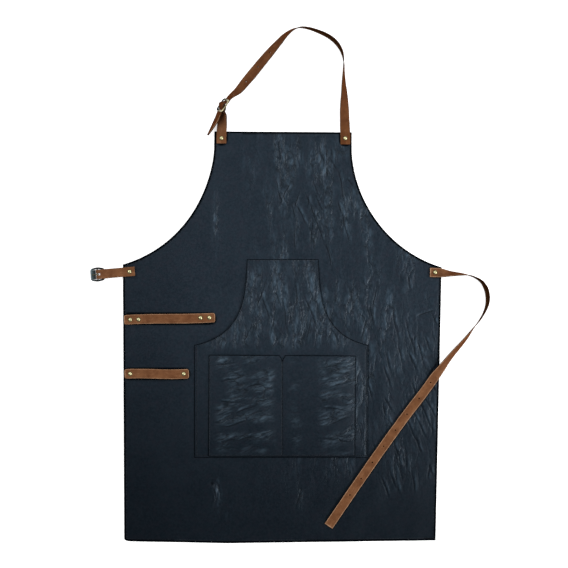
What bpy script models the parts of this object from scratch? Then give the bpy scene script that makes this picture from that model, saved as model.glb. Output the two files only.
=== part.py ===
"""Leather bib apron with buckled neck and waist straps, pockets and tool loops.

The apron lies on its back. Metres, +Z up out of the apron's front, +Y towards the neck.
The origin is on the panel's back face, on the line of the bib's middle, at hip height.
"""
from math import asin, cos, pi, radians, sin, sqrt

import bmesh
import bpy
import numpy as np
from mathutils import Matrix, Vector

APRON = "leather_bib_apron"

# Leather
PANEL_THICKNESS = 0.0020
POCKET_LEATHER = 0.0015
STRAP_THICKNESS = 0.0020
FOLDED_THICKNESS = 0.0037
NECK_STRAP_WIDTH = 0.0215
WAIST_STRAP_WIDTH = 0.0205
TOOL_STRAP_WIDTH = 0.0210
CORNER_RADIUS = 0.0030
TOUCH_GAP = 0.0003

# Panel
HEM_Y = -0.440
BIB_TOP_Y = 0.441
BIB_LEFT_X = -0.146
BIB_RIGHT_X = 0.150
WAIST_LEFT = (-0.342, 0.156)
WAIST_RIGHT = (0.343, 0.150)

# Pockets
POCKET_ROOM = 0.0055
POCKET_SEAM = 0.0030
BIG_POCKET_TOP_Y = 0.167
BIG_POCKET_MOUTH_Y = -0.017
BIG_POCKET_BOTTOM_Y = -0.259
BIG_POCKET_TOP_LEFT_X = -0.075
BIG_POCKET_TOP_RIGHT_X = 0.079
BIG_POCKET_LEFT_X = -0.188
BIG_POCKET_RIGHT_X = 0.185
PAIR_POCKET_LEFT_X = -0.158
PAIR_POCKET_RIGHT_X = 0.157
PAIR_POCKET_TOP_Y = -0.039
PAIR_POCKET_BOTTOM_Y = -0.256
DIVIDER_X = 0.001
NOTCH_HALF_WIDTH = 0.006
NOTCH_DEPTH = 0.011

# Tool straps: ends and rivets along X, and the middle line's Y
TOOL_STRAP_RISE = 0.0057
TOOL_STRAP_RAMP = 0.012
TOOL_STRAP_HELD = 0.003
UPPER_TOOL_STRAP = {
    "left": -0.339,
    "right": -0.144,
    "left_y": 0.0370,
    "right_y": 0.0420,
    "rivets": (-0.326, -0.308, -0.175, -0.156),
}
LOWER_TOOL_STRAP = {
    "left": -0.338,
    "right": -0.200,
    "left_y": -0.0790,
    "right_y": -0.0790,
    "rivets": (-0.326, -0.211),
}

# Rivets
RIVET_SIDES = 12
RIVET_CAP_RADIUS = 0.0045
RIVET_CAP_HEIGHT = 0.0020
RIVET_BORE_DEPTH = 0.0012
RIVET_STEM_RADIUS = 0.0015
RIVET_HOLE_RADIUS = 0.0018
RIVET_FOOT_RADIUS = 0.0040
RIVET_FOOT_HEIGHT = 0.0006
RIVET_FOOT_LIFT = 0.0001

# Buckles
BAR_RADIUS = 0.0013
ROD_RADIUS = 0.0012
FOLD_INNER_RADIUS = 0.0016
FOLD_OUTER_RADIUS = 0.0033
TONGUE_RADIUS = 0.0009
TONGUE_RING_RADIUS = 0.0027
TONGUE_RING_WIDTH = 0.0032
TONGUE_SLOT_WIDTH = 0.0044
TONGUE_SLOT_LOW = (-0.0070, -0.0080)
TONGUE_SLOT_HIGH = (0.0050, 0.0090)
TONGUE_GROOVE = [(0.0005, 0.0, 0.0019), (0.0100, 0.0, 0.0024)]
TONGUE_GROOVE_RADIUS = 0.0016
NECK_TONGUE_ROUTE = [(0.0010, 0.0018), (0.0060, 0.0022), (0.0142, 0.0025)]
WAIST_TONGUE_ROUTE = [(0.0010, 0.0018), (0.0045, 0.0026), (0.0125, 0.0026)]
FRAME_CORNER_RADIUS = 0.0040
FRAME_HALF_LENGTH = 0.0126
NECK_FRAME_HALF_WIDTH = 0.0126
WAIST_FRAME_HALF_WIDTH = 0.0126
WAIST_FRAME_END_HALF_WIDTH = 0.0113
WAIST_END_PLATE = (0.0075, 0.0200, 0.0026)

NECK_BUCKLE_CENTRE = (-0.1265, 0.4970, 0.0139)
NECK_BUCKLE_HEADING = radians(56.5)
NECK_BUCKLE_LEAN = radians(59.0)
WAIST_BUCKLE_CENTRE = (-0.3960, 0.1345, 0.0037)
WAIST_BUCKLE_HEADING = radians(185.0)

# Under the buckle's end bars the neck strap runs low, and over its centre bar it humps up
STRAP_LOW = -0.0026
STRAP_HUMP = 0.0077
STRAP_HUMP_HALF_LENGTH = 0.0105
STRAP_IN_BUCKLE_FROM = 0.016
STRAP_IN_BUCKLE_TO = -0.014
STRAP_IN_BUCKLE_STEPS = 15

# The neck straps are parted along the top of the bib, where they fold
FOLD_AXIS = (0.0, 0.4416, 0.0063)
TAB_END_Y = 0.4395
LOOP_START_Y = 0.4437
LEFT_TAB_LENGTH = 0.0235
RIGHT_TAB_LENGTH = 0.0255

NECK_RIVET_LEFT = (-0.130, 0.427)
NECK_RIVET_RIGHT = (0.136, 0.427)
WAIST_RIVET_LEFT = (-0.327, 0.1405)
WAIST_RIVET_RIGHT = (0.329, 0.139)
WAIST_STRAP_TILT_AT_RIVET = 0.0007

# Doubled straps near their bars, as (along the buckle, height over its plane)
NECK_FOLD_ROUTE = [
    (-0.0105, -0.0064),
    (-0.0080, -0.00565),
    (-0.0065, -0.00495),
    (-0.0052, -0.0039),
    (-0.0012, -0.0006),
]
WAIST_SHORT_LYING = (-0.0800, -0.0620)
WAIST_SHORT_LIFT = (-0.0480, 0.0006)
WAIST_FOLD_ROUTE = [
    (-0.0300, 0.0027),
    (-0.0170, 0.0038),
    (-0.0110, 0.0037),
    (-0.0060, 0.0024),
    (-0.0012, 0.0004),
]

# Strap routes: x, y, lean in degrees (0 flat, 90 on edge), height of what it lies on
NECK_STRAP_ROUTE = [
    (0.1355, LOOP_START_Y, 0, PANEL_THICKNESS),
    (0.1345, 0.4720, 14, 0.0012),
    (0.1340, 0.4970, 28, 0.0),
    (0.1335, 0.5230, 50, 0.0),
    (0.1325, 0.5480, 68, 0.0),
    (0.1325, 0.5700, 80, 0.0),
    (0.1325, 0.5920, 88, 0.0),
    (0.1280, 0.6130, 99, 0.0),
    (0.1130, 0.6350, 105, 0.0),
    (0.0970, 0.6465, 103, 0.0),
    (0.0770, 0.6555, 99, 0.0),
    (0.0570, 0.6620, 93, 0.0),
    (0.0390, 0.6640, 85, 0.0),
    (0.0230, 0.6590, 73, 0.0),
    (0.0090, 0.6490, 60, 0.0),
    (-0.0070, 0.6320, 44, 0.0),
    (-0.0360, 0.5990, 22, 0.0),
    (-0.0640, 0.5650, 12, 0.0),
    (-0.0790, 0.5470, 20, 0.0),
    (-0.0930, 0.5300, 34, 0.0),
]
NECK_TAIL_ROUTE = [
    (-0.1405, 0.4660, 60, 0.0),
    (-0.1495, 0.4490, 68, 0.0),
    (-0.1590, 0.4330, 80, 0.0),
]
NECK_SHORT_ROUTE = [
    (-0.1295, LOOP_START_Y, 0, PANEL_THICKNESS),
    (-0.1290, 0.4500, 5, 0.0016),
    (-0.1280, 0.4630, 26, 0.0003),
    (-0.1270, 0.4770, 44, 0.0001),
]
WAIST_LONG_ROUTE = [
    (0.3180, 0.1390, 0, PANEL_THICKNESS),
    (0.3280, 0.1387, 0, PANEL_THICKNESS),
    (0.3360, 0.1384, 6, PANEL_THICKNESS),
    (0.3480, 0.1370, 33, PANEL_THICKNESS),
    (0.3600, 0.1362, 54, 0.0010),
    (0.3720, 0.1356, 66, 0.0002),
    (0.3850, 0.1350, 77, 0.0),
    (0.3980, 0.1335, 88, 0.0),
    (0.4135, 0.1285, 93, 0.0),
    (0.4280, 0.1190, 101, 0.0),
    (0.4370, 0.1050, 108, 0.0),
    (0.4410, 0.0880, 108, 0.0),
    (0.4400, 0.0710, 103, 0.0),
    (0.4335, 0.0530, 94, 0.0),
    (0.4235, 0.0360, 88, 0.0),
    (0.4090, 0.0175, 80, 0.0),
    (0.3970, 0.0010, 68, 0.0),
    (0.3825, -0.0165, 60, 0.0),
    (0.3680, -0.0330, 53, 0.0),
    (0.3535, -0.0510, 45, 0.0002),
    (0.3425, -0.0660, 30, 0.0016),
    (0.3310, -0.0810, 12, PANEL_THICKNESS),
    (0.3150, -0.1040, 0, PANEL_THICKNESS),
    (0.2650, -0.1700, 0, PANEL_THICKNESS),
    (0.2150, -0.2390, 0, PANEL_THICKNESS),
    (0.1670, -0.3080, 0, PANEL_THICKNESS),
    (0.1000, -0.4060, 0, PANEL_THICKNESS),
]
STATION_SPACING = 0.0100
FINE_SPACING = 0.0020

# Finely lofted stretches, as distances back from each strap's end
NECK_STRAP_FINE = (0.110, 0.050)
NECK_SHORT_FINE = (0.020, 0.0)
WAIST_SHORT_FINE = (0.020, 0.0)

# Adjusting holes, as distances back from each strap's free end
PUNCH_RADIUS = 0.0015
PUNCH_LENGTH = 0.0120
WAIST_PUNCH_FIRST = 0.081
WAIST_PUNCH_PITCH = 0.0425
WAIST_PUNCH_COUNT = 8
NECK_PUNCH_FIRST = 0.109
NECK_PUNCH_PITCH = 0.0405
NECK_PUNCH_COUNT = 4

NAVY = (0.014, 0.021, 0.031)
NAVY_POCKET = (0.017, 0.026, 0.038)
TAN = (0.235, 0.090, 0.036)
ANTIQUE_BRASS = (0.42, 0.36, 0.17)
GUNMETAL = (0.10, 0.10, 0.09)


# ---------------------------------------------------------------- scene and objects

def clear_scene():
    for obj in list(bpy.data.objects):
        bpy.data.objects.remove(obj, do_unlink=True)


def new_collection(name):
    collection = bpy.data.collections.new(name)
    bpy.context.scene.collection.children.link(collection)
    return collection


def paint(obj, colour, roughness, metallic):
    """Give the object its own Principled material."""
    material = bpy.data.materials.new(obj.name)
    material.use_nodes = True
    shader = material.node_tree.nodes["Principled BSDF"]
    shader.inputs["Base Color"].default_value = (*colour, 1.0)
    shader.inputs["Roughness"].default_value = roughness
    shader.inputs["Metallic"].default_value = metallic
    obj.data.materials.append(material)


def add_object(name, mesh, collection, place=None):
    obj = bpy.data.objects.new(name, mesh)
    if place is not None:
        obj.matrix_world = place
    collection.objects.link(obj)
    return obj


def hide_as_cutter(obj):
    obj.hide_render = True
    obj.display_type = "WIRE"


def combine(obj, other, operation):
    """Cut other from obj, or join it on, with a Boolean that stays on the object."""
    modifier = obj.modifiers.new(other.name, "BOOLEAN")
    modifier.operation = operation
    modifier.object = other
    hide_as_cutter(other)


def hang_on_axis(name, place, pieces, collection, parent=None):
    """Put an empty on a joint axis and parent the pieces that turn about it."""
    axis = bpy.data.objects.new(name, None)
    axis.empty_display_size = 0.02
    collection.objects.link(axis)
    axis.matrix_world = place
    if parent is not None:
        axis.parent = parent
        axis.matrix_parent_inverse = parent.matrix_world.inverted()
    for piece in pieces:
        world = piece.matrix_world.copy()
        piece.parent = axis
        piece.matrix_parent_inverse = place.inverted()
        piece.matrix_world = world
    return axis


# ---------------------------------------------------------------- basic shapes

def weld(mesh):
    shape = bmesh.new()
    shape.from_mesh(mesh)
    bmesh.ops.remove_doubles(shape, verts=shape.verts, dist=1e-6)
    shape.to_mesh(mesh)
    shape.free()


def mesh_from_curve(curve_object, name, collection):
    """Turn a curve object into a welded mesh object, and drop the curve."""
    bpy.context.view_layer.update()
    evaluated = curve_object.evaluated_get(bpy.context.evaluated_depsgraph_get())
    mesh = bpy.data.meshes.new_from_object(evaluated)
    weld(mesh)
    obj = add_object(name, mesh, collection, curve_object.matrix_world.copy())
    bpy.data.objects.remove(curve_object, do_unlink=True)
    return obj


def flat_outline(name, knots, bottom, top, collection):
    """Extrude a flat outline of (point, handle in, handle out) knots; None is a corner."""
    curve = bpy.data.curves.new(name, "CURVE")
    curve.dimensions = "2D"
    curve.fill_mode = "BOTH"
    curve.extrude = (top - bottom) / 2
    curve.resolution_u = 10
    spline = curve.splines.new("BEZIER")
    spline.use_cyclic_u = True
    spline.bezier_points.add(len(knots) - 1)
    for knot, (point, handle_in, handle_out) in zip(spline.bezier_points, knots):
        knot.co = (*point, 0.0)
        knot.handle_left_type = "FREE" if handle_in else "VECTOR"
        knot.handle_right_type = "FREE" if handle_out else "VECTOR"
        if handle_in:
            knot.handle_left = (*handle_in, 0.0)
        if handle_out:
            knot.handle_right = (*handle_out, 0.0)
    outline = bpy.data.objects.new(name + "_outline", curve)
    outline.location.z = (bottom + top) / 2
    collection.objects.link(outline)
    return mesh_from_curve(outline, name, collection)


def corner(x, y):
    return ((x, y), None, None)


def box(name, low, high, collection, place=None):
    shape = bmesh.new()
    bmesh.ops.create_cube(shape, size=1.0)
    size = Vector(high) - Vector(low)
    bmesh.ops.scale(shape, vec=size, verts=shape.verts)
    bmesh.ops.translate(shape, vec=(Vector(low) + Vector(high)) / 2, verts=shape.verts)
    mesh = bpy.data.meshes.new(name)
    shape.to_mesh(mesh)
    shape.free()
    return add_object(name, mesh, collection, place)


def cylinder(name, radius, length, sides, collection, place):
    """Cylinder along its own Z, centred on its origin."""
    shape = bmesh.new()
    bmesh.ops.create_cone(
        shape, cap_ends=True, segments=sides, radius1=radius, radius2=radius, depth=length
    )
    mesh = bpy.data.meshes.new(name)
    shape.to_mesh(mesh)
    shape.free()
    return add_object(name, mesh, collection, place)


def turned(name, profile, collection, place):
    """Turn a profile of (radius, height), listed from the top down, about Z."""
    mesh = bpy.data.meshes.new(name)
    edges = [(i, i + 1) for i in range(len(profile) - 1)]
    mesh.from_pydata([(radius, 0.0, height) for radius, height in profile], edges, [])
    obj = add_object(name, mesh, collection, place)
    screw = obj.modifiers.new("turn", "SCREW")
    screw.angle = 2 * pi
    screw.steps = RIVET_SIDES
    screw.render_steps = RIVET_SIDES
    screw.use_merge_vertices = True
    screw.merge_threshold = 0.00001
    screw.use_smooth_shade = True
    return obj


def rod(name, points, radius, closed, collection, place):
    """Round rod along a route of points."""
    curve = bpy.data.curves.new(name, "CURVE")
    curve.dimensions = "3D"
    curve.bevel_depth = radius
    curve.bevel_resolution = 2
    curve.use_fill_caps = not closed
    spline = curve.splines.new("POLY")
    spline.use_cyclic_u = closed
    spline.points.add(len(points) - 1)
    for knot, point in zip(spline.points, points):
        knot.co = (*point, 1.0)
    guide = bpy.data.objects.new(name + "_route", curve)
    guide.matrix_world = place
    collection.objects.link(guide)
    return mesh_from_curve(guide, name, collection)


def across(place):
    """Turn a frame so that its Z runs along the buckle's bar."""
    return place @ Matrix.Rotation(radians(90), 4, "X")


# ---------------------------------------------------------------- straps

def buckle_frame_matrix(centre, heading, lean):
    """Buckle frame: X along the rails, Y along the bar to the low side, Z out of the front."""
    along = Vector((cos(heading), sin(heading), 0.0))
    inner = Vector((sin(heading), -cos(heading), 0.0))
    high_side = inner * cos(lean) + Vector((0, 0, 1)) * sin(lean)
    front = Vector((0, 0, 1)) * cos(lean) - inner * sin(lean)
    matrix = Matrix((along, -high_side, front)).transposed().to_4x4()
    matrix.translation = Vector(centre)
    return matrix


def lying_stations(route, width, thickness, turns):
    """Centre and across direction of a strap lying at each lean; turns is 1 left, -1 right."""
    stations = []
    last = len(route) - 1
    for i, (x, y, lean, rest) in enumerate(route):
        before = route[max(i - 1, 0)]
        after = route[min(i + 1, last)]
        heading = Vector((after[0] - before[0], after[1] - before[1], 0.0)).normalized()
        inner = Vector((-heading.y, heading.x, 0.0)) * turns
        tilt = radians(lean)
        lift = width / 2 * sin(tilt) + thickness / 2 * abs(cos(tilt))
        centre = Vector((x, y, rest + TOUCH_GAP + lift))
        stations.append((centre, inner * cos(tilt) + Vector((0, 0, 1)) * sin(tilt)))
    return stations


class SmoothRoute:
    """Smooth curve through stations, read by distance along it."""

    def __init__(self, stations):
        self.knots = np.array([(*centre, *side) for centre, side in stations])
        steps = np.linalg.norm(np.diff(self.knots[:, :3], axis=0), axis=1)
        self.chord = np.concatenate(([0.0], np.cumsum(steps)))
        self.slopes = np.gradient(self.knots, self.chord, axis=0)
        self.settle(steps)
        self.length = float(self.chord[-1])

    def settle(self, steps):
        """Keep height and lean from dipping past a level stretch."""
        rates = np.diff(self.knots, axis=0) / steps[:, None]
        for i in range(1, len(self.knots) - 1):
            for part in range(2, 6):
                before, after = rates[i - 1, part], rates[i, part]
                if before * after <= 0:
                    self.slopes[i, part] = 0.0
                else:
                    steepest = 3 * min(abs(before), abs(after))
                    self.slopes[i, part] = np.clip(self.slopes[i, part], -steepest, steepest)

    def read(self, distance):
        i = int(np.clip(np.searchsorted(self.chord, distance) - 1, 0, len(self.chord) - 2))
        step = self.chord[i + 1] - self.chord[i]
        t = (distance - self.chord[i]) / step
        start = (2 * t**3 - 3 * t**2 + 1) * self.knots[i]
        leave = (t**3 - 2 * t**2 + t) * step * self.slopes[i]
        end = (3 * t**2 - 2 * t**3) * self.knots[i + 1]
        arrive = (t**3 - t**2) * step * self.slopes[i + 1]
        return start + leave + end + arrive

    def frame(self, distance):
        """Centre, across and outward directions at a distance along the strap."""
        here = self.read(distance)
        ahead = self.read(min(distance + 1e-4, self.length))
        behind = self.read(max(distance - 1e-4, 0.0))
        along = Vector(ahead[:3] - behind[:3]).normalized()
        side = Vector(here[3:])
        side = (side - along * side.dot(along)).normalized()
        return Vector(here[:3]), side, along.cross(side).normalized()


def strap_distances(route, fine, corners):
    """Distances for the sections: close together at round corners and in the fine stretch."""
    distances = []
    here = 0.0
    while here < route.length:
        distances.append(here)
        is_fine = fine[1] < route.length - here < fine[0]
        here += FINE_SPACING if is_fine else STATION_SPACING
    if route.length - distances[-1] < STATION_SPACING / 3:
        distances.pop()
    distances.append(route.length)
    rounding = [CORNER_RADIUS * (1 - cos(step * pi / 6)) for step in range(1, 4)]
    if corners[0]:
        distances += rounding
    if corners[1]:
        distances += [route.length - step for step in rounding]
    return sorted(distances)


def loft_strap(name, stations, width, thickness, corners, collection, fine=(0.0, 0.0)):
    """Loft a flat strap with a rectangular section, its ends rounded where corners says."""
    route = SmoothRoute(stations)
    shape = bmesh.new()
    rings = []
    for distance in strap_distances(route, fine, corners):
        centre, side, outward = route.frame(distance)
        half_width = width / 2
        for rounded, from_end in zip(corners, (distance, route.length - distance)):
            if rounded and from_end < CORNER_RADIUS:
                short = CORNER_RADIUS - from_end
                half_width -= CORNER_RADIUS - sqrt(max(CORNER_RADIUS**2 - short**2, 0.0))
        ring = []
        for s, o in ((-1, -1), (1, -1), (1, 1), (-1, 1)):
            point = centre + side * (s * half_width) + outward * (o * thickness / 2)
            ring.append(shape.verts.new(point))
        rings.append(ring)
    for first, second in zip(rings, rings[1:]):
        for k in range(4):
            shape.faces.new((first[k], first[(k + 1) % 4], second[(k + 1) % 4], second[k]))
    shape.faces.new(reversed(rings[0]))
    shape.faces.new(rings[-1])
    bmesh.ops.recalc_face_normals(shape, faces=shape.faces)
    mesh = bpy.data.meshes.new(name)
    shape.to_mesh(mesh)
    shape.free()
    return add_object(name, mesh, collection), route


def punch(strap, name, centre, outward, cutters):
    """Round hole through a strap, square to its face."""
    turn = outward.to_track_quat("Z", "Y").to_matrix().to_4x4()
    place = Matrix.Translation(centre) @ turn
    hole = cylinder(name, PUNCH_RADIUS, PUNCH_LENGTH, 8, cutters, place)
    combine(strap, hole, "DIFFERENCE")


def punch_row(strap, route, first, pitch, count, cutters):
    """Row of adjusting holes, measured back from the strap's free end."""
    for i in range(count):
        centre, _, outward = route.frame(route.length - first - i * pitch)
        punch(strap, f"{strap.name}_punch_{i + 1}", centre, outward, cutters)


def strap_height_in_buckle(u):
    """Height of the neck strap's middle over the buckle plane, u from the centre bar."""
    if abs(u) >= STRAP_HUMP_HALF_LENGTH:
        return STRAP_LOW
    return STRAP_LOW + STRAP_HUMP * 0.5 * (1 + cos(pi * u / STRAP_HUMP_HALF_LENGTH))


def stations_in_buckle(buckle, points):
    """Stations from (along, height) points in a buckle's own frame."""
    side = buckle.to_3x3() @ Vector((0, -1, 0))
    return [(buckle @ Vector((u, 0.0, height)), side) for u, height in points]


# ---------------------------------------------------------------- panel and pockets

def make_panel(parts):
    knots = [
        corner(-0.324, HEM_Y + 0.001),
        corner(-0.116, HEM_Y - 0.003),
        corner(0.330, HEM_Y + 0.003),
        (WAIST_RIGHT, None, (0.219, 0.188)),
        ((BIB_RIGHT_X, 0.400), (0.153, 0.303), None),
        corner(BIB_RIGHT_X, BIB_TOP_Y - 0.001),
        corner(BIB_LEFT_X + 0.001, BIB_TOP_Y + 0.001),
        ((BIB_LEFT_X, 0.415), None, (-0.144, 0.362)),
        (WAIST_LEFT, (-0.180, 0.204), None),
        corner(-0.339, HEM_Y + 0.008),
    ]
    panel = flat_outline("apron_panel", knots, 0.0, PANEL_THICKNESS, parts)
    paint(panel, NAVY, 0.42, 0.0)
    return panel


def make_big_pocket(parts, cutters):
    base = PANEL_THICKNESS + TOUCH_GAP
    knots = [
        corner(BIG_POCKET_LEFT_X, BIG_POCKET_BOTTOM_Y),
        corner(BIG_POCKET_RIGHT_X, BIG_POCKET_BOTTOM_Y),
        ((BIG_POCKET_RIGHT_X, BIG_POCKET_MOUTH_Y), None, (0.084, 0.005)),
        ((BIG_POCKET_TOP_RIGHT_X, BIG_POCKET_TOP_Y), (0.081, 0.089), None),
        ((BIG_POCKET_TOP_LEFT_X, BIG_POCKET_TOP_Y), None, (-0.078, 0.089)),
        ((BIG_POCKET_LEFT_X, BIG_POCKET_MOUTH_Y), (-0.081, 0.005), None),
    ]
    top = base + POCKET_ROOM + POCKET_LEATHER
    pocket = flat_outline("kangaroo_pocket", knots, base, top, parts)
    hand_way = box(
        "kangaroo_pocket_hand_way",
        (BIG_POCKET_LEFT_X - 0.02, BIG_POCKET_MOUTH_Y + 0.003, base - 0.001),
        (BIG_POCKET_RIGHT_X + 0.02, BIG_POCKET_TOP_Y - POCKET_SEAM, base + POCKET_ROOM),
        cutters,
    )
    bag = box(
        "kangaroo_pocket_bag",
        (BIG_POCKET_LEFT_X + POCKET_SEAM, BIG_POCKET_BOTTOM_Y + POCKET_SEAM, base - 0.0012),
        (BIG_POCKET_RIGHT_X - POCKET_SEAM, BIG_POCKET_MOUTH_Y + 0.006, base + POCKET_ROOM),
        cutters,
    )
    combine(bag, hand_way, "UNION")
    combine(pocket, bag, "DIFFERENCE")
    paint(pocket, NAVY_POCKET, 0.42, 0.0)
    return top


def make_pair_pocket(parts, cutters, lies_on):
    base = lies_on + TOUCH_GAP
    notch_tip = (DIVIDER_X, PAIR_POCKET_TOP_Y - NOTCH_DEPTH)
    knots = [
        corner(PAIR_POCKET_LEFT_X, PAIR_POCKET_BOTTOM_Y),
        corner(PAIR_POCKET_RIGHT_X, PAIR_POCKET_BOTTOM_Y),
        corner(PAIR_POCKET_RIGHT_X + 0.002, PAIR_POCKET_TOP_Y - 0.001),
        corner(DIVIDER_X + NOTCH_HALF_WIDTH, PAIR_POCKET_TOP_Y),
        corner(*notch_tip),
        corner(DIVIDER_X - NOTCH_HALF_WIDTH, PAIR_POCKET_TOP_Y),
        corner(PAIR_POCKET_LEFT_X + 0.001, PAIR_POCKET_TOP_Y + 0.001),
    ]
    top = base + POCKET_ROOM + POCKET_LEATHER
    pocket = flat_outline("pair_pocket", knots, base, top, parts)
    halves = {
        "left": (PAIR_POCKET_LEFT_X + POCKET_SEAM, DIVIDER_X - POCKET_SEAM / 2),
        "right": (DIVIDER_X + POCKET_SEAM / 2, PAIR_POCKET_RIGHT_X - POCKET_SEAM),
    }
    for side, (low_x, high_x) in halves.items():
        room = box(
            f"pair_pocket_{side}_room",
            (low_x, PAIR_POCKET_BOTTOM_Y + POCKET_SEAM, base - 0.001),
            (high_x, PAIR_POCKET_TOP_Y + 0.01, base + POCKET_ROOM),
            cutters,
        )
        combine(pocket, room, "DIFFERENCE")
    paint(pocket, NAVY_POCKET, 0.40, 0.0)


# ---------------------------------------------------------------- straps and buckles

def tool_strap_y(strap, x):
    """Height on the panel of a tool strap's middle."""
    share = (x - strap["left"]) / (strap["right"] - strap["left"])
    return strap["left_y"] + share * (strap["right_y"] - strap["left_y"])


def make_tool_strap(name, strap, parts):
    """Strap riveted down at both ends that arches off the panel between them."""
    low = PANEL_THICKNESS + TOUCH_GAP + STRAP_THICKNESS / 2
    high = low + TOOL_STRAP_RISE
    rivets = strap["rivets"]
    inner_left = max(x for x in rivets if x < (strap["left"] + strap["right"]) / 2)
    inner_right = min(x for x in rivets if x > (strap["left"] + strap["right"]) / 2)
    clear = RIVET_CAP_RADIUS + TOOL_STRAP_HELD
    profile = [
        (strap["left"], low),
        (inner_left, low),
        (inner_left + clear, low),
        (inner_left + clear + TOOL_STRAP_RAMP, high),
        ((inner_left + inner_right) / 2, high),
        (inner_right - clear - TOOL_STRAP_RAMP, high),
        (inner_right - clear, low),
        (inner_right, low),
        (strap["right"], low),
    ]
    stations = [
        (Vector((x, tool_strap_y(strap, x), z)), Vector((0, 1, 0))) for x, z in profile
    ]
    arch = (strap["right"] - inner_left - clear, strap["right"] - inner_right + clear)
    obj, _ = loft_strap(
        name, stations, TOOL_STRAP_WIDTH, STRAP_THICKNESS, (True, True), parts, arch
    )
    paint(obj, TAN, 0.55, 0.0)
    return obj


def make_neck_tab(name, rivet, length, thickness, parts):
    """End of a neck strap that is riveted on the bib."""
    height = PANEL_THICKNESS + TOUCH_GAP + thickness / 2
    side = Vector((-1, 0, 0))
    points = (TAB_END_Y - length, rivet[1], TAB_END_Y)
    stations = [(Vector((rivet[0], y, height)), side) for y in points]
    obj, _ = loft_strap(name, stations, NECK_STRAP_WIDTH, thickness, (True, False), parts)
    paint(obj, TAN, 0.55, 0.0)
    return obj


def make_neck_strap(buckle, parts, cutters):
    """Long neck strap: round the neck, through the buckle, to its hanging tail."""
    stations = lying_stations(NECK_STRAP_ROUTE, NECK_STRAP_WIDTH, STRAP_THICKNESS, 1)
    steps = np.linspace(STRAP_IN_BUCKLE_FROM, STRAP_IN_BUCKLE_TO, STRAP_IN_BUCKLE_STEPS + 1)
    points = [(float(u), strap_height_in_buckle(float(u))) for u in steps]
    stations += stations_in_buckle(buckle, points)
    stations += lying_stations(NECK_TAIL_ROUTE, NECK_STRAP_WIDTH, STRAP_THICKNESS, 1)
    strap, route = loft_strap(
        "neck_strap", stations, NECK_STRAP_WIDTH, STRAP_THICKNESS, (False, False), parts,
        NECK_STRAP_FINE,
    )
    punch_row(strap, route, NECK_PUNCH_FIRST, NECK_PUNCH_PITCH, NECK_PUNCH_COUNT, cutters)
    groove = rod(
        "neck_strap_tongue_groove", TONGUE_GROOVE, TONGUE_GROOVE_RADIUS, False, cutters, buckle
    )
    combine(strap, groove, "DIFFERENCE")
    paint(strap, TAN, 0.55, 0.0)
    return strap


def fold_round_bar(strap, buckle, width, cutters):
    """Close a doubled strap round the buckle's bar, with a slot for the tongue."""
    place = across(buckle)
    ends = {"roll": FOLD_OUTER_RADIUS, "bar_hole": FOLD_INNER_RADIUS}
    for kind, radius in ends.items():
        length = width - TOUCH_GAP if kind == "roll" else width + 0.004
        tool = cylinder(f"{strap.name}_{kind}", radius, length, 16, cutters, place)
        combine(strap, tool, "UNION" if kind == "roll" else "DIFFERENCE")
    slot = box(
        f"{strap.name}_tongue_slot",
        (TONGUE_SLOT_LOW[0], -TONGUE_SLOT_WIDTH / 2, TONGUE_SLOT_LOW[1]),
        (TONGUE_SLOT_HIGH[0], TONGUE_SLOT_WIDTH / 2, TONGUE_SLOT_HIGH[1]),
        cutters,
        buckle,
    )
    combine(strap, slot, "DIFFERENCE")


def make_neck_short_strap(buckle, parts, cutters):
    """Doubled strap from the bib's left corner to the neck buckle's bar."""
    stations = lying_stations(NECK_SHORT_ROUTE, NECK_STRAP_WIDTH, FOLDED_THICKNESS, -1)
    stations += stations_in_buckle(buckle, NECK_FOLD_ROUTE)
    strap, _ = loft_strap(
        "neck_short_strap", stations, NECK_STRAP_WIDTH, FOLDED_THICKNESS, (False, False),
        parts, NECK_SHORT_FINE,
    )
    fold_round_bar(strap, buckle, NECK_STRAP_WIDTH, cutters)
    paint(strap, TAN, 0.55, 0.0)
    return strap


def make_waist_short_strap(buckle, parts, cutters):
    """Doubled strap at the left waist, folded round the waist buckle's bar."""
    level = PANEL_THICKNESS + TOUCH_GAP + FOLDED_THICKNESS / 2 - WAIST_BUCKLE_CENTRE[2]
    on_panel = [(u, level) for u in WAIST_SHORT_LYING]
    lifting = (WAIST_SHORT_LIFT[0], level + WAIST_SHORT_LIFT[1])
    stations = stations_in_buckle(buckle, [*on_panel, lifting, *WAIST_FOLD_ROUTE])
    strap, _ = loft_strap(
        "waist_short_strap", stations, WAIST_STRAP_WIDTH, FOLDED_THICKNESS, (True, False),
        parts, WAIST_SHORT_FINE,
    )
    fold_round_bar(strap, buckle, WAIST_STRAP_WIDTH, cutters)
    paint(strap, TAN, 0.55, 0.0)
    return strap


def make_waist_long_strap(parts, cutters):
    """Long punched waist strap, looped on its edge and laid across the skirt."""
    stations = lying_stations(WAIST_LONG_ROUTE, WAIST_STRAP_WIDTH, STRAP_THICKNESS, -1)
    strap, route = loft_strap(
        "waist_long_strap", stations, WAIST_STRAP_WIDTH, STRAP_THICKNESS, (True, False), parts
    )
    punch_row(strap, route, WAIST_PUNCH_FIRST, WAIST_PUNCH_PITCH, WAIST_PUNCH_COUNT, cutters)
    paint(strap, TAN, 0.55, 0.0)
    return strap


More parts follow.
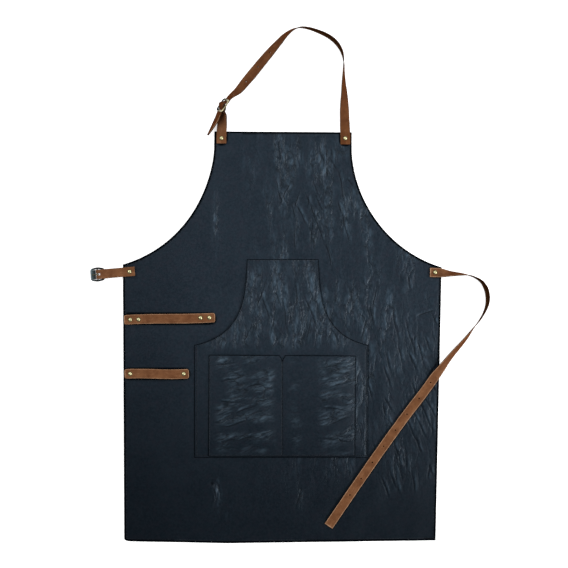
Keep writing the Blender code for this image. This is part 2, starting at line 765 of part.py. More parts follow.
def rounded_ring(half_length, half_width, end_half_width):
    """Closed route of a buckle frame whose sides bow out at the middle."""
    radius = FRAME_CORNER_RADIUS
    points = []
    for x_sign, y_sign in ((1, 1), (-1, 1), (-1, -1), (1, -1)):
        turn = range(0, 4) if x_sign * y_sign > 0 else range(3, -1, -1)
        centre_x = half_length - radius
        centre_y = end_half_width - radius
        for step in turn:
            angle = step * pi / 6
            x = centre_x + radius * cos(angle)
            y = centre_y + radius * sin(angle)
            points.append((x_sign * x, y_sign * y, 0.0))
        if x_sign * y_sign > 0:
            points.append((0.0, y_sign * half_width, 0.0))
    return points


def make_buckle_frame(name, buckle, sizes, colour, parts, cutters):
    """Rod frame with a bar across its middle."""
    ring = rounded_ring(FRAME_HALF_LENGTH, sizes["half_width"], sizes["end_half_width"])
    frame = rod(name, ring, ROD_RADIUS, True, parts, buckle)
    bar_length = 2 * sizes["half_width"]
    place = across(buckle)
    bar = cylinder(f"{name}_bar", BAR_RADIUS, bar_length, 10, cutters, place)
    combine(frame, bar, "UNION")
    if sizes["plate"]:
        length, width, thickness = sizes["plate"]
        end = FRAME_HALF_LENGTH + ROD_RADIUS * 0.6
        plate = box(
            f"{name}_end_plate",
            (end - length, -width / 2, -thickness / 2),
            (end, width / 2, thickness / 2),
            cutters,
            buckle,
        )
        combine(frame, plate, "UNION")
    paint(frame, colour, 0.35, 0.9)
    return frame


def make_tongue(name, buckle, points, parts, cutters):
    """Tongue: a rod from a ring round the bar to the frame's end."""
    route = [(u, 0.0, height) for u, height in points]
    tongue = rod(name, route, TONGUE_RADIUS, False, parts, buckle)
    place = across(buckle)
    ring = cylinder(f"{name}_ring", TONGUE_RING_RADIUS, TONGUE_RING_WIDTH, 16, cutters, place)
    hole = cylinder(f"{name}_ring_hole", FOLD_INNER_RADIUS, 0.01, 16, cutters, place)
    combine(tongue, ring, "UNION")
    combine(tongue, hole, "DIFFERENCE")
    paint(tongue, GUNMETAL, 0.35, 0.9)
    return tongue


# ---------------------------------------------------------------- rivets

def cap_profile():
    """Domed cap with a blind bore below for the post."""
    crown = RIVET_CAP_RADIUS * 1.06
    rise = RIVET_CAP_HEIGHT - 0.0006
    dome = [(0.0, RIVET_CAP_HEIGHT)]
    for step in range(1, 5):
        angle = asin(RIVET_CAP_RADIUS / crown) * step / 4
        dome.append((crown * sin(angle), RIVET_CAP_HEIGHT - rise * (1 - cos(angle)) * 1.45))
    rim = [(RIVET_CAP_RADIUS, 0.0), (RIVET_HOLE_RADIUS, 0.0)]
    bore = [(RIVET_HOLE_RADIUS, RIVET_BORE_DEPTH), (0.0, RIVET_BORE_DEPTH)]
    return dome + rim + bore


def make_rivet(name, position, strap_top, targets, parts, cutters):
    """Cap on the strap and post from the panel's back, with the holes that they need."""
    x, y = position
    cap_base = strap_top + TOUCH_GAP
    cap = turned(f"{name}_cap", cap_profile(), parts, Matrix.Translation((x, y, cap_base)))
    paint(cap, ANTIQUE_BRASS, 0.30, 0.95)
    stem_top = cap_base + RIVET_BORE_DEPTH - TOUCH_GAP
    foot_top = RIVET_FOOT_LIFT + RIVET_FOOT_HEIGHT
    post_profile = [
        (0.0, stem_top),
        (RIVET_STEM_RADIUS, stem_top),
        (RIVET_STEM_RADIUS, foot_top),
        (RIVET_FOOT_RADIUS, foot_top),
        (RIVET_FOOT_RADIUS, RIVET_FOOT_LIFT),
        (0.0, RIVET_FOOT_LIFT),
    ]
    place = Matrix.Translation((x, y, 0.0))
    post = turned(f"{name}_post", post_profile, parts, place)
    paint(post, ANTIQUE_BRASS, 0.30, 0.95)
    recess_top = foot_top + TOUCH_GAP
    cutter_profile = [
        (0.0, strap_top + 0.002),
        (RIVET_HOLE_RADIUS, strap_top + 0.002),
        (RIVET_HOLE_RADIUS, recess_top),
        (RIVET_FOOT_RADIUS + TOUCH_GAP, recess_top),
        (RIVET_FOOT_RADIUS + TOUCH_GAP, -0.001),
        (0.0, -0.001),
    ]
    cutter = turned(f"{name}_holes", cutter_profile, cutters, place)
    for target in targets:
        combine(target, cutter, "DIFFERENCE")


# ---------------------------------------------------------------- assembly

def build():
    clear_scene()
    parts = new_collection(APRON)
    cutters = new_collection("cutters")
    neck_buckle = buckle_frame_matrix(NECK_BUCKLE_CENTRE, NECK_BUCKLE_HEADING, NECK_BUCKLE_LEAN)
    waist_buckle = buckle_frame_matrix(WAIST_BUCKLE_CENTRE, WAIST_BUCKLE_HEADING, 0.0)

    panel = make_panel(parts)
    pocket_top = make_big_pocket(parts, cutters)
    make_pair_pocket(parts, cutters, pocket_top)
    upper = make_tool_strap("upper_tool_strap", UPPER_TOOL_STRAP, parts)
    lower = make_tool_strap("lower_tool_strap", LOWER_TOOL_STRAP, parts)
    left_tab = make_neck_tab(
        "neck_short_strap_tab", NECK_RIVET_LEFT, LEFT_TAB_LENGTH, FOLDED_THICKNESS, parts
    )
    right_tab = make_neck_tab(
        "neck_strap_tab", NECK_RIVET_RIGHT, RIGHT_TAB_LENGTH, STRAP_THICKNESS, parts
    )

    neck_strap = make_neck_strap(neck_buckle, parts, cutters)
    neck_short = make_neck_short_strap(neck_buckle, parts, cutters)
    neck_sizes = {
        "half_width": NECK_FRAME_HALF_WIDTH,
        "end_half_width": NECK_FRAME_HALF_WIDTH,
        "plate": None,
    }
    neck_frame = make_buckle_frame(
        "neck_buckle_frame", neck_buckle, neck_sizes, GUNMETAL, parts, cutters
    )
    neck_tongue = make_tongue(
        "neck_buckle_tongue", neck_buckle, NECK_TONGUE_ROUTE, parts, cutters
    )

    waist_short = make_waist_short_strap(waist_buckle, parts, cutters)
    waist_sizes = {
        "half_width": WAIST_FRAME_HALF_WIDTH,
        "end_half_width": WAIST_FRAME_END_HALF_WIDTH,
        "plate": WAIST_END_PLATE,
    }
    waist_frame = make_buckle_frame(
        "waist_buckle_frame", waist_buckle, waist_sizes, GUNMETAL, parts, cutters
    )
    waist_tongue = make_tongue(
        "waist_buckle_tongue", waist_buckle, WAIST_TONGUE_ROUTE, parts, cutters
    )
    waist_long = make_waist_long_strap(parts, cutters)

    single_top = PANEL_THICKNESS + TOUCH_GAP + STRAP_THICKNESS
    tilted_top = single_top + WAIST_STRAP_TILT_AT_RIVET
    double_top = PANEL_THICKNESS + TOUCH_GAP + FOLDED_THICKNESS
    rivets = {
        "neck_left_rivet": (NECK_RIVET_LEFT, double_top, left_tab),
        "neck_right_rivet": (NECK_RIVET_RIGHT, single_top, right_tab),
        "waist_left_rivet": (WAIST_RIVET_LEFT, double_top, waist_short),
        "waist_right_rivet": (WAIST_RIVET_RIGHT, tilted_top, waist_long),
    }
    for side, strap, obj in (("upper", UPPER_TOOL_STRAP, upper), ("lower", LOWER_TOOL_STRAP, lower)):
        for i, x in enumerate(strap["rivets"]):
            place = (x, tool_strap_y(strap, x))
            rivets[f"{side}_tool_rivet_{i + 1}"] = (place, single_top, obj)
    for name, (position, strap_top, strap) in rivets.items():
        make_rivet(name, position, strap_top, (panel, strap), parts, cutters)

    fold = hang_on_axis(
        "neck_fold_axis", Matrix.Translation(FOLD_AXIS), (neck_strap, neck_short, neck_frame), parts
    )
    hang_on_axis("neck_tongue_axis", neck_buckle, (neck_tongue,), parts, fold)
    left_pivot = Matrix.Translation((*WAIST_RIVET_LEFT, 0.0))
    right_pivot = Matrix.Translation((*WAIST_RIVET_RIGHT, 0.0))
    swivel = hang_on_axis("waist_left_rivet_axis", left_pivot, (waist_short,), parts)
    frame_axis = hang_on_axis("waist_frame_axis", waist_buckle, (waist_frame,), parts, swivel)
    hang_on_axis("waist_tongue_axis", waist_buckle, (waist_tongue,), parts, frame_axis)
    hang_on_axis("waist_right_rivet_axis", right_pivot, (waist_long,), parts)
    bpy.context.view_layer.update()


build()
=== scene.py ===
"""Looks of the leather bib apron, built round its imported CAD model. Metres, +Z up."""
from math import cos, pi, radians, sin, sqrt

import bmesh
import bpy
import numpy as np
from mathutils import Matrix, Vector
from mathutils.geometry import delaunay_2d_cdt
from mathutils.kdtree import KDTree


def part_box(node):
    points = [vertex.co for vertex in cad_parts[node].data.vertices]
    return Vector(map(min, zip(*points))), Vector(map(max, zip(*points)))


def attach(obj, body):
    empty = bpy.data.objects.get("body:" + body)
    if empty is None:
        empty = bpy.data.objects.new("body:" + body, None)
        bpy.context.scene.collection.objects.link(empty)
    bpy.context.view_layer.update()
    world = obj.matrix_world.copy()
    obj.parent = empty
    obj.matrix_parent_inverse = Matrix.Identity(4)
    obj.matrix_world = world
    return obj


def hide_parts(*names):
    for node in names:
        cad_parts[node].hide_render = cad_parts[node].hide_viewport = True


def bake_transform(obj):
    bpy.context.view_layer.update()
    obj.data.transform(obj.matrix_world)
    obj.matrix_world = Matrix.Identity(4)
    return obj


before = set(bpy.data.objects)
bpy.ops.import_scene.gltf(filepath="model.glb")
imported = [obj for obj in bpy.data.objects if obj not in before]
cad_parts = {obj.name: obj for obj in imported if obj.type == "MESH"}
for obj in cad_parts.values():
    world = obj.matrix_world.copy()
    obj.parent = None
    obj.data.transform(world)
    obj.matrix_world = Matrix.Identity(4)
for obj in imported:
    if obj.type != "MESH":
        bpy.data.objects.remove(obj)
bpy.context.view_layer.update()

# Camera: straight above the flat apron
CAMERA_X = 0.0043
CAMERA_Y = 0.1140
CAMERA_HEIGHT = 3.392
LENS = 100.0
FLOOR_GLOW = 0.66

# Leather
PANEL_THICKNESS = 0.0020
POCKET_THICKNESS = 0.0015
STRAP_THICKNESS = 0.0020
LAYER_THICKNESS = 0.0017
DOUBLED_THICKNESS = 0.0037
NECK_STRAP_WIDTH = 0.0215
WAIST_STRAP_WIDTH = 0.0205
TOOL_STRAP_WIDTH = 0.0210
STRAP_CORNER_RADIUS = 0.0042
TOUCH_GAP = 0.0003

# Sheets
FINE_MESH = 0.0020
BACK_MESH = 0.0080
EDGE_ROUND = 0.0009
EDGE_STEP = 0.0040
EDGE_RINGS = (0.0003, 0.0008, 0.0018, 0.0026, 0.0035)
SEAM_OFFSETS = (-0.0020, -0.0009, 0.0, 0.0009, 0.0020)
EDGE_BAND = 0.0040
POCKET_EDGE_BAND = 0.0012
MESH_CLEAR = 0.6
SEAM_INSET = 0.0047
MOUTH_INSET = 0.0026
PANEL_SEAM_INSET = 0.0055

# Stitches
STITCH_LENGTH = 0.0026
STITCH_PITCH = 0.0036
THREAD_RADIUS = 0.00026

# Rivets
TURNED_STEPS = 40
FOOT_RECESS = 0.0008
RIVET_FOOT_REACH = 0.0044

# Buckles, close to the CAD model
BAR_RADIUS = 0.0013
ROD_RADIUS = 0.0012
RAIL_RADIUS = 0.0019
NECK_RAIL_RADIUS = 0.0024
TONGUE_RADIUS = 0.0009
TONGUE_RING_RADIUS = 0.0027
TONGUE_RING_LENGTH = 0.0032
TONGUE_BORE_RADIUS = 0.0016
WRAP_RADIUS = 0.00245
WRAP_GAP = 0.0015
WRAP_REACH = 0.009
FRAME_HALF_LENGTH = 0.0126
FRAME_HALF_WIDTH = 0.0126
WAIST_END_HALF_WIDTH = 0.0113
FRAME_CORNER_RADIUS = 0.0040
END_PLATE = (0.0096, 0.0200, 0.0026)
NECK_BUCKLE_CENTRE = (-0.1265, 0.4970, 0.0139)
NECK_BUCKLE_HEADING = radians(56.5)
NECK_BUCKLE_LEAN = radians(59.0)
WAIST_BUCKLE_CENTRE = (-0.3960, 0.1345, 0.0037)
WAIST_BUCKLE_HEADING = radians(185.0)
STRAP_LOW = -0.0026
STRAP_HUMP = 0.0077
STRAP_HUMP_HALF_LENGTH = 0.0105
STRAP_IN_BUCKLE = (0.016, -0.014, 16)

# Where each strap runs: x, y, lean in degrees (0 flat, 90 on edge), height of what it lies on
LOOP_START_Y = 0.4437
NECK_STRAP_ROUTE = [
    (0.1355, LOOP_START_Y, 0, PANEL_THICKNESS),
    (0.1345, 0.4720, 14, 0.0012),
    (0.1340, 0.4970, 28, 0.0),
    (0.1335, 0.5230, 50, 0.0),
    (0.1325, 0.5480, 68, 0.0),
    (0.1325, 0.5700, 80, 0.0),
    (0.1325, 0.5920, 88, 0.0),
    (0.1280, 0.6130, 99, 0.0),
    (0.1130, 0.6350, 105, 0.0),
    (0.0970, 0.6465, 103, 0.0),
    (0.0770, 0.6555, 99, 0.0),
    (0.0570, 0.6620, 93, 0.0),
    (0.0390, 0.6640, 85, 0.0),
    (0.0230, 0.6590, 73, 0.0),
    (0.0090, 0.6490, 60, 0.0),
    (-0.0070, 0.6320, 44, 0.0),
    (-0.0360, 0.5990, 22, 0.0),
    (-0.0640, 0.5650, 12, 0.0),
    (-0.0790, 0.5470, 20, 0.0),
    (-0.0930, 0.5300, 34, 0.0),
]
NECK_TAIL_ROUTE = [
    (-0.1405, 0.4660, 60, 0.0),
    (-0.1495, 0.4490, 68, 0.0),
    (-0.1590, 0.4330, 80, 0.0),
]
NECK_SHORT_ROUTE = [
    (-0.1295, LOOP_START_Y, 0, PANEL_THICKNESS),
    (-0.1290, 0.4500, 5, 0.0016),
    (-0.1280, 0.4630, 26, 0.0003),
    (-0.1270, 0.4770, 44, 0.0001),
]
# Where the doubled straps run in their buckle's own frame: along, height
NECK_FOLD_ROUTE = [
    (-0.0105, -0.0064),
    (-0.0080, -0.00565),
    (-0.0065, -0.00495),
    (-0.0052, -0.0039),
    (-0.0012, -0.0006),
]
WAIST_SHORT_LYING = (-0.0800, -0.0620)
WAIST_SHORT_LIFT = (-0.0480, 0.0006)
WAIST_FOLD_ROUTE = [
    (-0.0300, 0.0027),
    (-0.0170, 0.0038),
    (-0.0110, 0.0037),
    (-0.0060, 0.0024),
    (-0.0012, 0.0004),
]
WAIST_LONG_ROUTE = [
    (0.3180, 0.1390, 0, PANEL_THICKNESS),
    (0.3280, 0.1387, 0, PANEL_THICKNESS),
    (0.3360, 0.1384, 6, PANEL_THICKNESS),
    (0.3480, 0.1370, 33, PANEL_THICKNESS),
    (0.3600, 0.1362, 54, 0.0010),
    (0.3720, 0.1356, 66, 0.0002),
    (0.3850, 0.1350, 77, 0.0),
    (0.3980, 0.1335, 88, 0.0),
    (0.4135, 0.1285, 93, 0.0),
    (0.4280, 0.1190, 101, 0.0),
    (0.4370, 0.1050, 108, 0.0),
    (0.4410, 0.0880, 108, 0.0),
    (0.4400, 0.0710, 103, 0.0),
    (0.4335, 0.0530, 94, 0.0),
    (0.4235, 0.0360, 88, 0.0),
    (0.4090, 0.0175, 80, 0.0),
    (0.3970, 0.0010, 68, 0.0),
    (0.3825, -0.0165, 60, 0.0),
    (0.3680, -0.0330, 53, 0.0),
    (0.3535, -0.0510, 45, 0.0002),
    (0.3425, -0.0660, 30, 0.0016),
    (0.3310, -0.0810, 12, PANEL_THICKNESS),
    (0.3150, -0.1040, 0, PANEL_THICKNESS),
    (0.2650, -0.1700, 0, PANEL_THICKNESS),
    (0.2150, -0.2390, 0, PANEL_THICKNESS),
    (0.1670, -0.3080, 0, PANEL_THICKNESS),
    (0.1000, -0.4060, 0, PANEL_THICKNESS),
]
STRAP_TAPER = 0.00012
STRAP_WAVER = 0.00030
STRAP_UNEVEN = 0.00010
STRAP_TIP = 0.005
PALE_STRIP = 0.0016
TONGUE_SLOT = ((-0.0062, -0.0021, -0.008), (0.0055, 0.0021, 0.009))
STRAP_END_CLEAR = 0.009
# Punched holes: distance of the first from the free end, pitch, count
PUNCH_OPEN = 0.0018
PUNCH_CLOSED = 0.0001
WAIST_PUNCHES = (0.081, 0.0425, 8)
NECK_PUNCHES = (0.109, 0.0405, 4)
STRAP_STEP = 0.0020


# ---------------------------------------------------------------- numbers and noise

def smooth(low, high, value):
    """Smooth step, 0 at low and 1 at high."""
    t = np.clip((value - low) / (high - low), 0.0, 1.0)
    return t * t * (3 - 2 * t)


class Noise:
    """Seeded gradient noise over the plane, about -0.7 to 0.7, with cells one unit wide."""

    def __init__(self, seed):
        random = np.random.default_rng(seed)
        angles = random.uniform(0.0, 2 * pi, 256)
        self.order = random.permutation(256)
        self.gradients = np.stack((np.cos(angles), np.sin(angles)), axis=1)

    def __call__(self, x, y):
        x, y = np.asarray(x, float), np.asarray(y, float)
        column, row = np.floor(x).astype(int), np.floor(y).astype(int)
        across, up = x - column, y - row
        ease_x = across * across * across * (across * (across * 6 - 15) + 10)
        ease_y = up * up * up * (up * (up * 6 - 15) + 10)

        def pull(i, j):
            cell = self.order[(self.order[(column + i) % 256] + row + j) % 256]
            gradient = self.gradients[cell]
            return gradient[..., 0] * (across - i) + gradient[..., 1] * (up - j)

        low = pull(0, 0) + ease_x * (pull(1, 0) - pull(0, 0))
        high = pull(0, 1) + ease_x * (pull(1, 1) - pull(0, 1))
        return low + ease_y * (high - low)


def creases(x, y, tilt, across, along, noise):
    """0 in the creases, up to 1 on the pillows between them. They run along Y, turned by tilt."""
    turn = radians(tilt)
    u = (x * cos(turn) + y * sin(turn)) / across
    v = (y * cos(turn) - x * sin(turn)) / along
    return np.minimum(np.abs(noise(u, v)) * 3.0, 1.0)


def blob(x, y, centre_x, centre_y, radius_x, radius_y):
    """Soft oval patch, 1 in its middle."""
    return np.exp(-(((x - centre_x) / radius_x) ** 2) - ((y - centre_y) / radius_y) ** 2)


def bell(value, width):
    """1 at zero, falling away over the width."""
    return np.exp(-((value / width) ** 2))


# ---------------------------------------------------------------- outlines

def bezier(start, handle_out, handle_in, end, count):
    """Points of a Bezier curve, without its last one."""
    t = np.linspace(0.0, 1.0, count, endpoint=False)[:, None]
    points = [np.array(p) for p in (start, handle_out, handle_in, end)]
    weights = ((1 - t) ** 3, 3 * t * (1 - t) ** 2, 3 * t * t * (1 - t), t**3)
    return sum(w * p for w, p in zip(weights, points))


def line(start, end):
    count = max(int(np.hypot(end[0] - start[0], end[1] - start[1]) / EDGE_STEP), 1)
    t = np.linspace(0.0, 1.0, count, endpoint=False)[:, None]
    return np.array(start) * (1 - t) + np.array(end) * t


def panel_outline():
    left_bend = bezier((-0.146, 0.415), (-0.144, 0.362), (-0.180, 0.204), (-0.342, 0.156), 90)
    right_bend = bezier((0.343, 0.150), (0.219, 0.188), (0.153, 0.303), (0.150, 0.400), 90)
    parts = [
        line((-0.324, -0.439), (-0.116, -0.443)),
        line((-0.116, -0.443), (0.330, -0.437)),
        line((0.330, -0.437), (0.343, 0.150)),
        right_bend,
        line((0.150, 0.400), (0.150, 0.440)),
        line((0.150, 0.440), (-0.145, 0.442)),
        line((-0.145, 0.442), (-0.146, 0.415)),
        left_bend,
        line((-0.342, 0.156), (-0.339, -0.432)),
        bezier((-0.339, -0.432), (-0.339, -0.437), (-0.333, -0.439), (-0.324, -0.439), 6),
    ]
    return np.concatenate(parts)


BIG_POCKET_CORNERS = {
    "bottom_left": (-0.188, -0.259),
    "bottom_right": (0.185, -0.259),
    "mouth_right": (0.185, -0.017),
    "top_right": (0.079, 0.167),
    "top_left": (-0.075, 0.167),
    "mouth_left": (-0.188, -0.017),
}


def big_pocket_sides():
    """The pocket's edges in order: bottom, right, right mouth, top, left mouth, left."""
    c = BIG_POCKET_CORNERS
    return {
        "bottom": line(c["bottom_left"], c["bottom_right"]),
        "right": line(c["bottom_right"], c["mouth_right"]),
        "right_mouth": bezier(c["mouth_right"], (0.084, 0.005), (0.081, 0.089), c["top_right"], 60),
        "top": line(c["top_right"], c["top_left"]),
        "left_mouth": bezier(c["top_left"], (-0.078, 0.089), (-0.081, 0.005), c["mouth_left"], 60),
        "left": line(c["mouth_left"], c["bottom_left"]),
    }


DIVIDER_X = 0.001
PAIR_POCKET_TOP = -0.039
PAIR_POCKET_BOTTOM = -0.256
PAIR_POCKET_LEFT = -0.158
PAIR_POCKET_RIGHT = 0.157
NOTCH_HALF_WIDTH = 0.006
NOTCH_DEPTH = 0.011


def pair_pocket_sides():
    """The pocket's edges in order: bottom, right, top with its notch, left."""
    bottom_left = (PAIR_POCKET_LEFT, PAIR_POCKET_BOTTOM)
    bottom_right = (PAIR_POCKET_RIGHT, PAIR_POCKET_BOTTOM)
    top_right = (PAIR_POCKET_RIGHT + 0.002, PAIR_POCKET_TOP - 0.001)
    top_left = (PAIR_POCKET_LEFT + 0.001, PAIR_POCKET_TOP + 0.001)
    notch_right = (DIVIDER_X + NOTCH_HALF_WIDTH, PAIR_POCKET_TOP)
    notch = (DIVIDER_X, PAIR_POCKET_TOP - NOTCH_DEPTH)
    notch_left = (DIVIDER_X - NOTCH_HALF_WIDTH, PAIR_POCKET_TOP)
    top = [line(top_right, notch_right), line(notch_right, notch)]
    top += [line(notch, notch_left), line(notch_left, top_left)]
    return {
        "bottom": line(bottom_left, bottom_right),
        "right": line(bottom_right, top_right),
        "top": np.concatenate(top),
        "left": line(top_left, bottom_left),
    }


def lengths_along(route):
    """Distance of each of the route's points from its start."""
    return np.concatenate(([0.0], np.cumsum(np.linalg.norm(np.diff(route, axis=0), axis=1))))


def distance_to(points, targets):
    """Distance from each point to the nearest of the targets."""
    tree = KDTree(len(targets))
    for i, (x, y) in enumerate(targets):
        tree.insert((x, y, 0.0), i)
    tree.balance()
    return np.array([tree.find((x, y, 0.0))[2] for x, y in points.tolist()])


def dense(polyline, closed, step=0.0008):
    """The polyline's points, spaced closely."""
    ends = np.roll(polyline, -1, axis=0) if closed else polyline[1:]
    starts = polyline if closed else polyline[:-1]
    pieces = []
    for start, end in zip(starts, ends):
        count = max(int(np.linalg.norm(end - start) / step), 1)
        t = np.linspace(0.0, 1.0, count, endpoint=False)[:, None]
        pieces.append(start * (1 - t) + end * t)
    return np.concatenate(pieces)


def inside(points, outline):
    """Which points lie inside the closed outline."""
    result = np.zeros(len(points), bool)
    for (x1, y1), (x2, y2) in zip(outline, np.roll(outline, -1, axis=0)):
        if y1 == y2:
            continue
        crosses = (points[:, 1] < y1) != (points[:, 1] < y2)
        reach = x1 + (points[:, 1] - y1) / (y2 - y1) * (x2 - x1)
        result ^= crosses & (points[:, 0] < reach)
    return result


def inset(outline, depth):
    """The outline's points moved inward, for an outline that runs anticlockwise."""
    ahead = np.roll(outline, -1, axis=0) - outline
    behind = outline - np.roll(outline, 1, axis=0)
    ahead /= np.linalg.norm(ahead, axis=1)[:, None]
    behind /= np.linalg.norm(behind, axis=1)[:, None]
    normal = np.stack((-(ahead + behind)[:, 1], (ahead + behind)[:, 0]), axis=1)
    normal /= np.maximum(np.linalg.norm(normal, axis=1), 0.3)[:, None]
    return outline + normal * depth


# ---------------------------------------------------------------- objects

def add_object(name, data):
    obj = bpy.data.objects.new(name, data)
    bpy.context.scene.collection.objects.link(obj)
    return obj


def add_smooth(name, mesh):
    mesh.shade_smooth()
    return add_object(name, mesh)


# ---------------------------------------------------------------- leather sheets

def lattice(outline, spacing, keep_fine):
    """Points of a triangular lattice inside the outline, one in four where it may be coarse."""
    low, high = outline.min(axis=0), outline.max(axis=0)
    rows = int((high[1] - low[1]) / (spacing * sqrt(3) / 2))
    columns = int((high[0] - low[0]) / spacing)
    row, column = np.meshgrid(np.arange(rows), np.arange(columns), indexing="ij")
    x = low[0] + (column + 0.5 * (row % 2)) * spacing
    y = low[1] + row * spacing * sqrt(3) / 2
    points = np.stack((x.ravel(), y.ravel()), axis=1)
    coarse = ((row % 2 == 0) & (column % 2 == (row // 2) % 2)).ravel()
    points, coarse = points[inside(points, outline)], coarse[inside(points, outline)]
    return points[coarse | keep_fine(points)]


def triangulate(outline, points):
    """Triangles that fill the outline, through it and the points."""
    corners = [Vector(p) for p in np.concatenate((outline, points))]
    ring = [list(range(len(outline)))]
    found, _, faces, origins, _, _ = delaunay_2d_cdt(corners, [], ring, 1, 1e-7)
    place = {}
    for new, old in enumerate(origins):
        for index in old:
            place[index] = new
    return np.array(found), np.array(faces), [place[i] for i in range(len(outline))]


def beside(row, offset):
    """The row of points moved sideways."""
    steps = np.gradient(row, axis=0)
    steps /= np.maximum(np.linalg.norm(steps, axis=1), 1e-9)[:, None]
    return row + np.column_stack((-steps[:, 1], steps[:, 0])) * offset


def seam_points(seams, outline, edge_points):
    """Points along and beside the seams, so that the mesh can follow their grooves."""
    found = []
    for seam in seams:
        centre = dense(seam, False, 0.0026)
        found += [beside(centre, offset) for offset in SEAM_OFFSETS]
    found = np.concatenate(found)
    found = found[distance_to(found, edge_points) > EDGE_RINGS[-1] + 0.0004]
    return found[inside(found, outline)]


def front_mesh(surface, edge_points):
    """The front's points and triangles, finer along seams and where it is crumpled."""
    outline = surface.outline
    rings = [inset(outline, depth) for depth in EDGE_RINGS]
    core = lattice(outline, FINE_MESH, surface.keep_fine)
    core = core[distance_to(core, edge_points) > EDGE_RINGS[-1] + FINE_MESH * MESH_CLEAR]
    grooves = seam_points(surface.seams, outline, edge_points)
    core = core[distance_to(core, grooves) > FINE_MESH * MESH_CLEAR]
    return triangulate(outline, np.concatenate((*rings, core, grooves)))


def back_mesh(outline, edge_points, dimples, open_dimple):
    """The back's points and triangles, with two rings round each dimple."""
    core = lattice(outline, BACK_MESH, lambda points: np.ones(len(points), bool))
    core = core[distance_to(core, edge_points) > BACK_MESH * MESH_CLEAR]
    for dimple in dimples:
        core = core[np.linalg.norm(core - dimple, axis=1) > open_dimple * 1.3]
    around = np.linspace(0.0, 2 * pi, 20, endpoint=False)
    circle = np.stack((np.cos(around), np.sin(around)), axis=1)
    for dimple in dimples:
        for radius in (open_dimple * 0.97, open_dimple):
            core = np.concatenate((core, dimple + circle * radius))
    return triangulate(outline, np.concatenate((inset(outline, EDGE_RINGS[1]), core)))


def leather_sheet(name, surface, dimples=(), open_dimple=0.0):
    """Closed sheet of leather with rounded edges, shaped by its surface's front and back."""
    front, back = surface.front, surface.back
    edge_points = dense(surface.outline, True)
    top, top_faces, top_ring = front_mesh(surface, edge_points)
    low, low_faces, low_ring = back_mesh(surface.outline, edge_points, dimples, open_dimple)

    distance = distance_to(top, edge_points)
    low_distance = distance_to(low, edge_points)
    top_z = front(top, distance)
    low_z = back(low, low_distance)
    for dimple in dimples:
        near = np.linalg.norm(low - dimple, axis=1) < open_dimple * 0.98
        low_z[near] += FOOT_RECESS
    edge_z = (top_z[top_ring] + low_z[low_ring]) / 2
    bulge = np.sqrt(np.clip(1 - (1 - np.minimum(distance / EDGE_ROUND, 1)) ** 2, 0, 1))
    middle = (top_z + back(top, distance)) / 2
    top_z = middle + (top_z - middle) * bulge
    top_z[top_ring] = edge_z

    index = np.arange(len(low)) + len(top)
    index[low_ring] = top_ring
    vertices = np.concatenate((np.column_stack((top, top_z)), np.column_stack((low, low_z))))
    faces = np.concatenate((top_faces, index[low_faces][:, ::-1]))
    used, renumbered = np.unique(faces, return_inverse=True)
    mesh = bpy.data.meshes.new(name)
    mesh.from_pydata(vertices[used].tolist(), [], renumbered.reshape(faces.shape).tolist())
    obj = add_smooth(name, mesh)
    all_distances = np.concatenate((distance, low_distance))[used]
    is_front = (np.arange(len(vertices)) < len(top))[used]
    return obj, vertices[used][:, :2], all_distances, is_front


def set_values(obj, name, values):
    """Store one number per vertex for the material to read."""
    attribute = obj.data.attributes.new(name, "FLOAT", "POINT")
    attribute.data.foreach_set("value", np.asarray(values, np.float32))


# ---------------------------------------------------------------- panel surface

WARP = Noise(11)
PATCHES = Noise(12)
NET_A = Noise(13)
NET_B = Noise(14)
NET_C = Noise(15)
SWELL = Noise(16)

DIMPLE = (-0.1500, -0.3150)


def relief(x, y, tilt, across, along):
    """Crumpled leather: 1 on the pillows, 0 in the creases of a slanting net."""
    wobble = WARP(x / 0.045, y / 0.045) * 0.010
    first = creases(x + wobble, y, tilt + 15, across, along, NET_A)
    second = creases(x - wobble, y, tilt - 13, across * 1.2, along * 0.9, NET_B)
    fine = creases(x + wobble, y, tilt + 4, across * 0.45, along * 0.5, NET_C)
    return np.sqrt(first * second) * 0.78 + fine * 0.22


def panel_amount(x, y):
    """How crumpled the panel is, 0 to 1: on the bib's middle and right and down the right side."""
    reach = smooth(-0.115, 0.010, x) * smooth(-0.420, -0.170, y)
    reach = reach * (1.0 - 0.45 * smooth(0.12, 0.22, x) * smooth(0.26, 0.14, y))
    patches = smooth(-0.12, 0.36, PATCHES(x / 0.028, y / 0.110))
    amount = reach * (0.16 + 0.74 * patches)
    for centre_x, centre_y, radius_x, radius_y, strength in (
        (-0.142, 0.250, 0.0065, 0.050, 1.10),
        (0.080, 0.395, 0.015, 0.040, 0.90),
        (-0.006, 0.405, 0.011, 0.040, 0.62),
        (0.006, 0.305, 0.014, 0.045, 0.60),
        (0.090, 0.330, 0.016, 0.060, 0.35),
        (0.135, 0.240, 0.012, 0.030, 0.35),
        (0.214, -0.020, 0.014, 0.055, 0.50),
        (0.172, 0.045, 0.010, 0.030, 0.40),
        (0.290, -0.140, 0.026, 0.040, 0.60),
        (0.232, 0.060, 0.012, 0.045, 0.55),
        (0.186, -0.080, 0.010, 0.050, 0.55),
        (0.268, 0.010, 0.012, 0.040, 0.45),
        (0.205, 0.130, 0.012, 0.040, 0.40),
        (0.250, -0.265, 0.026, 0.055, 0.55),
        (DIMPLE[0] + 0.010, DIMPLE[1] - 0.020, 0.007, 0.024, 1.10),
        (DIMPLE[0] + 0.022, DIMPLE[1] - 0.060, 0.020, 0.030, 0.30),
        (0.040, -0.340, 0.006, 0.026, 0.60),
        (-0.112, 0.030, 0.012, 0.030, 0.20),
    ):
        amount = amount + strength * blob(x, y, centre_x, centre_y, radius_x, radius_y)
    return np.clip(amount, 0.0, 1.0)


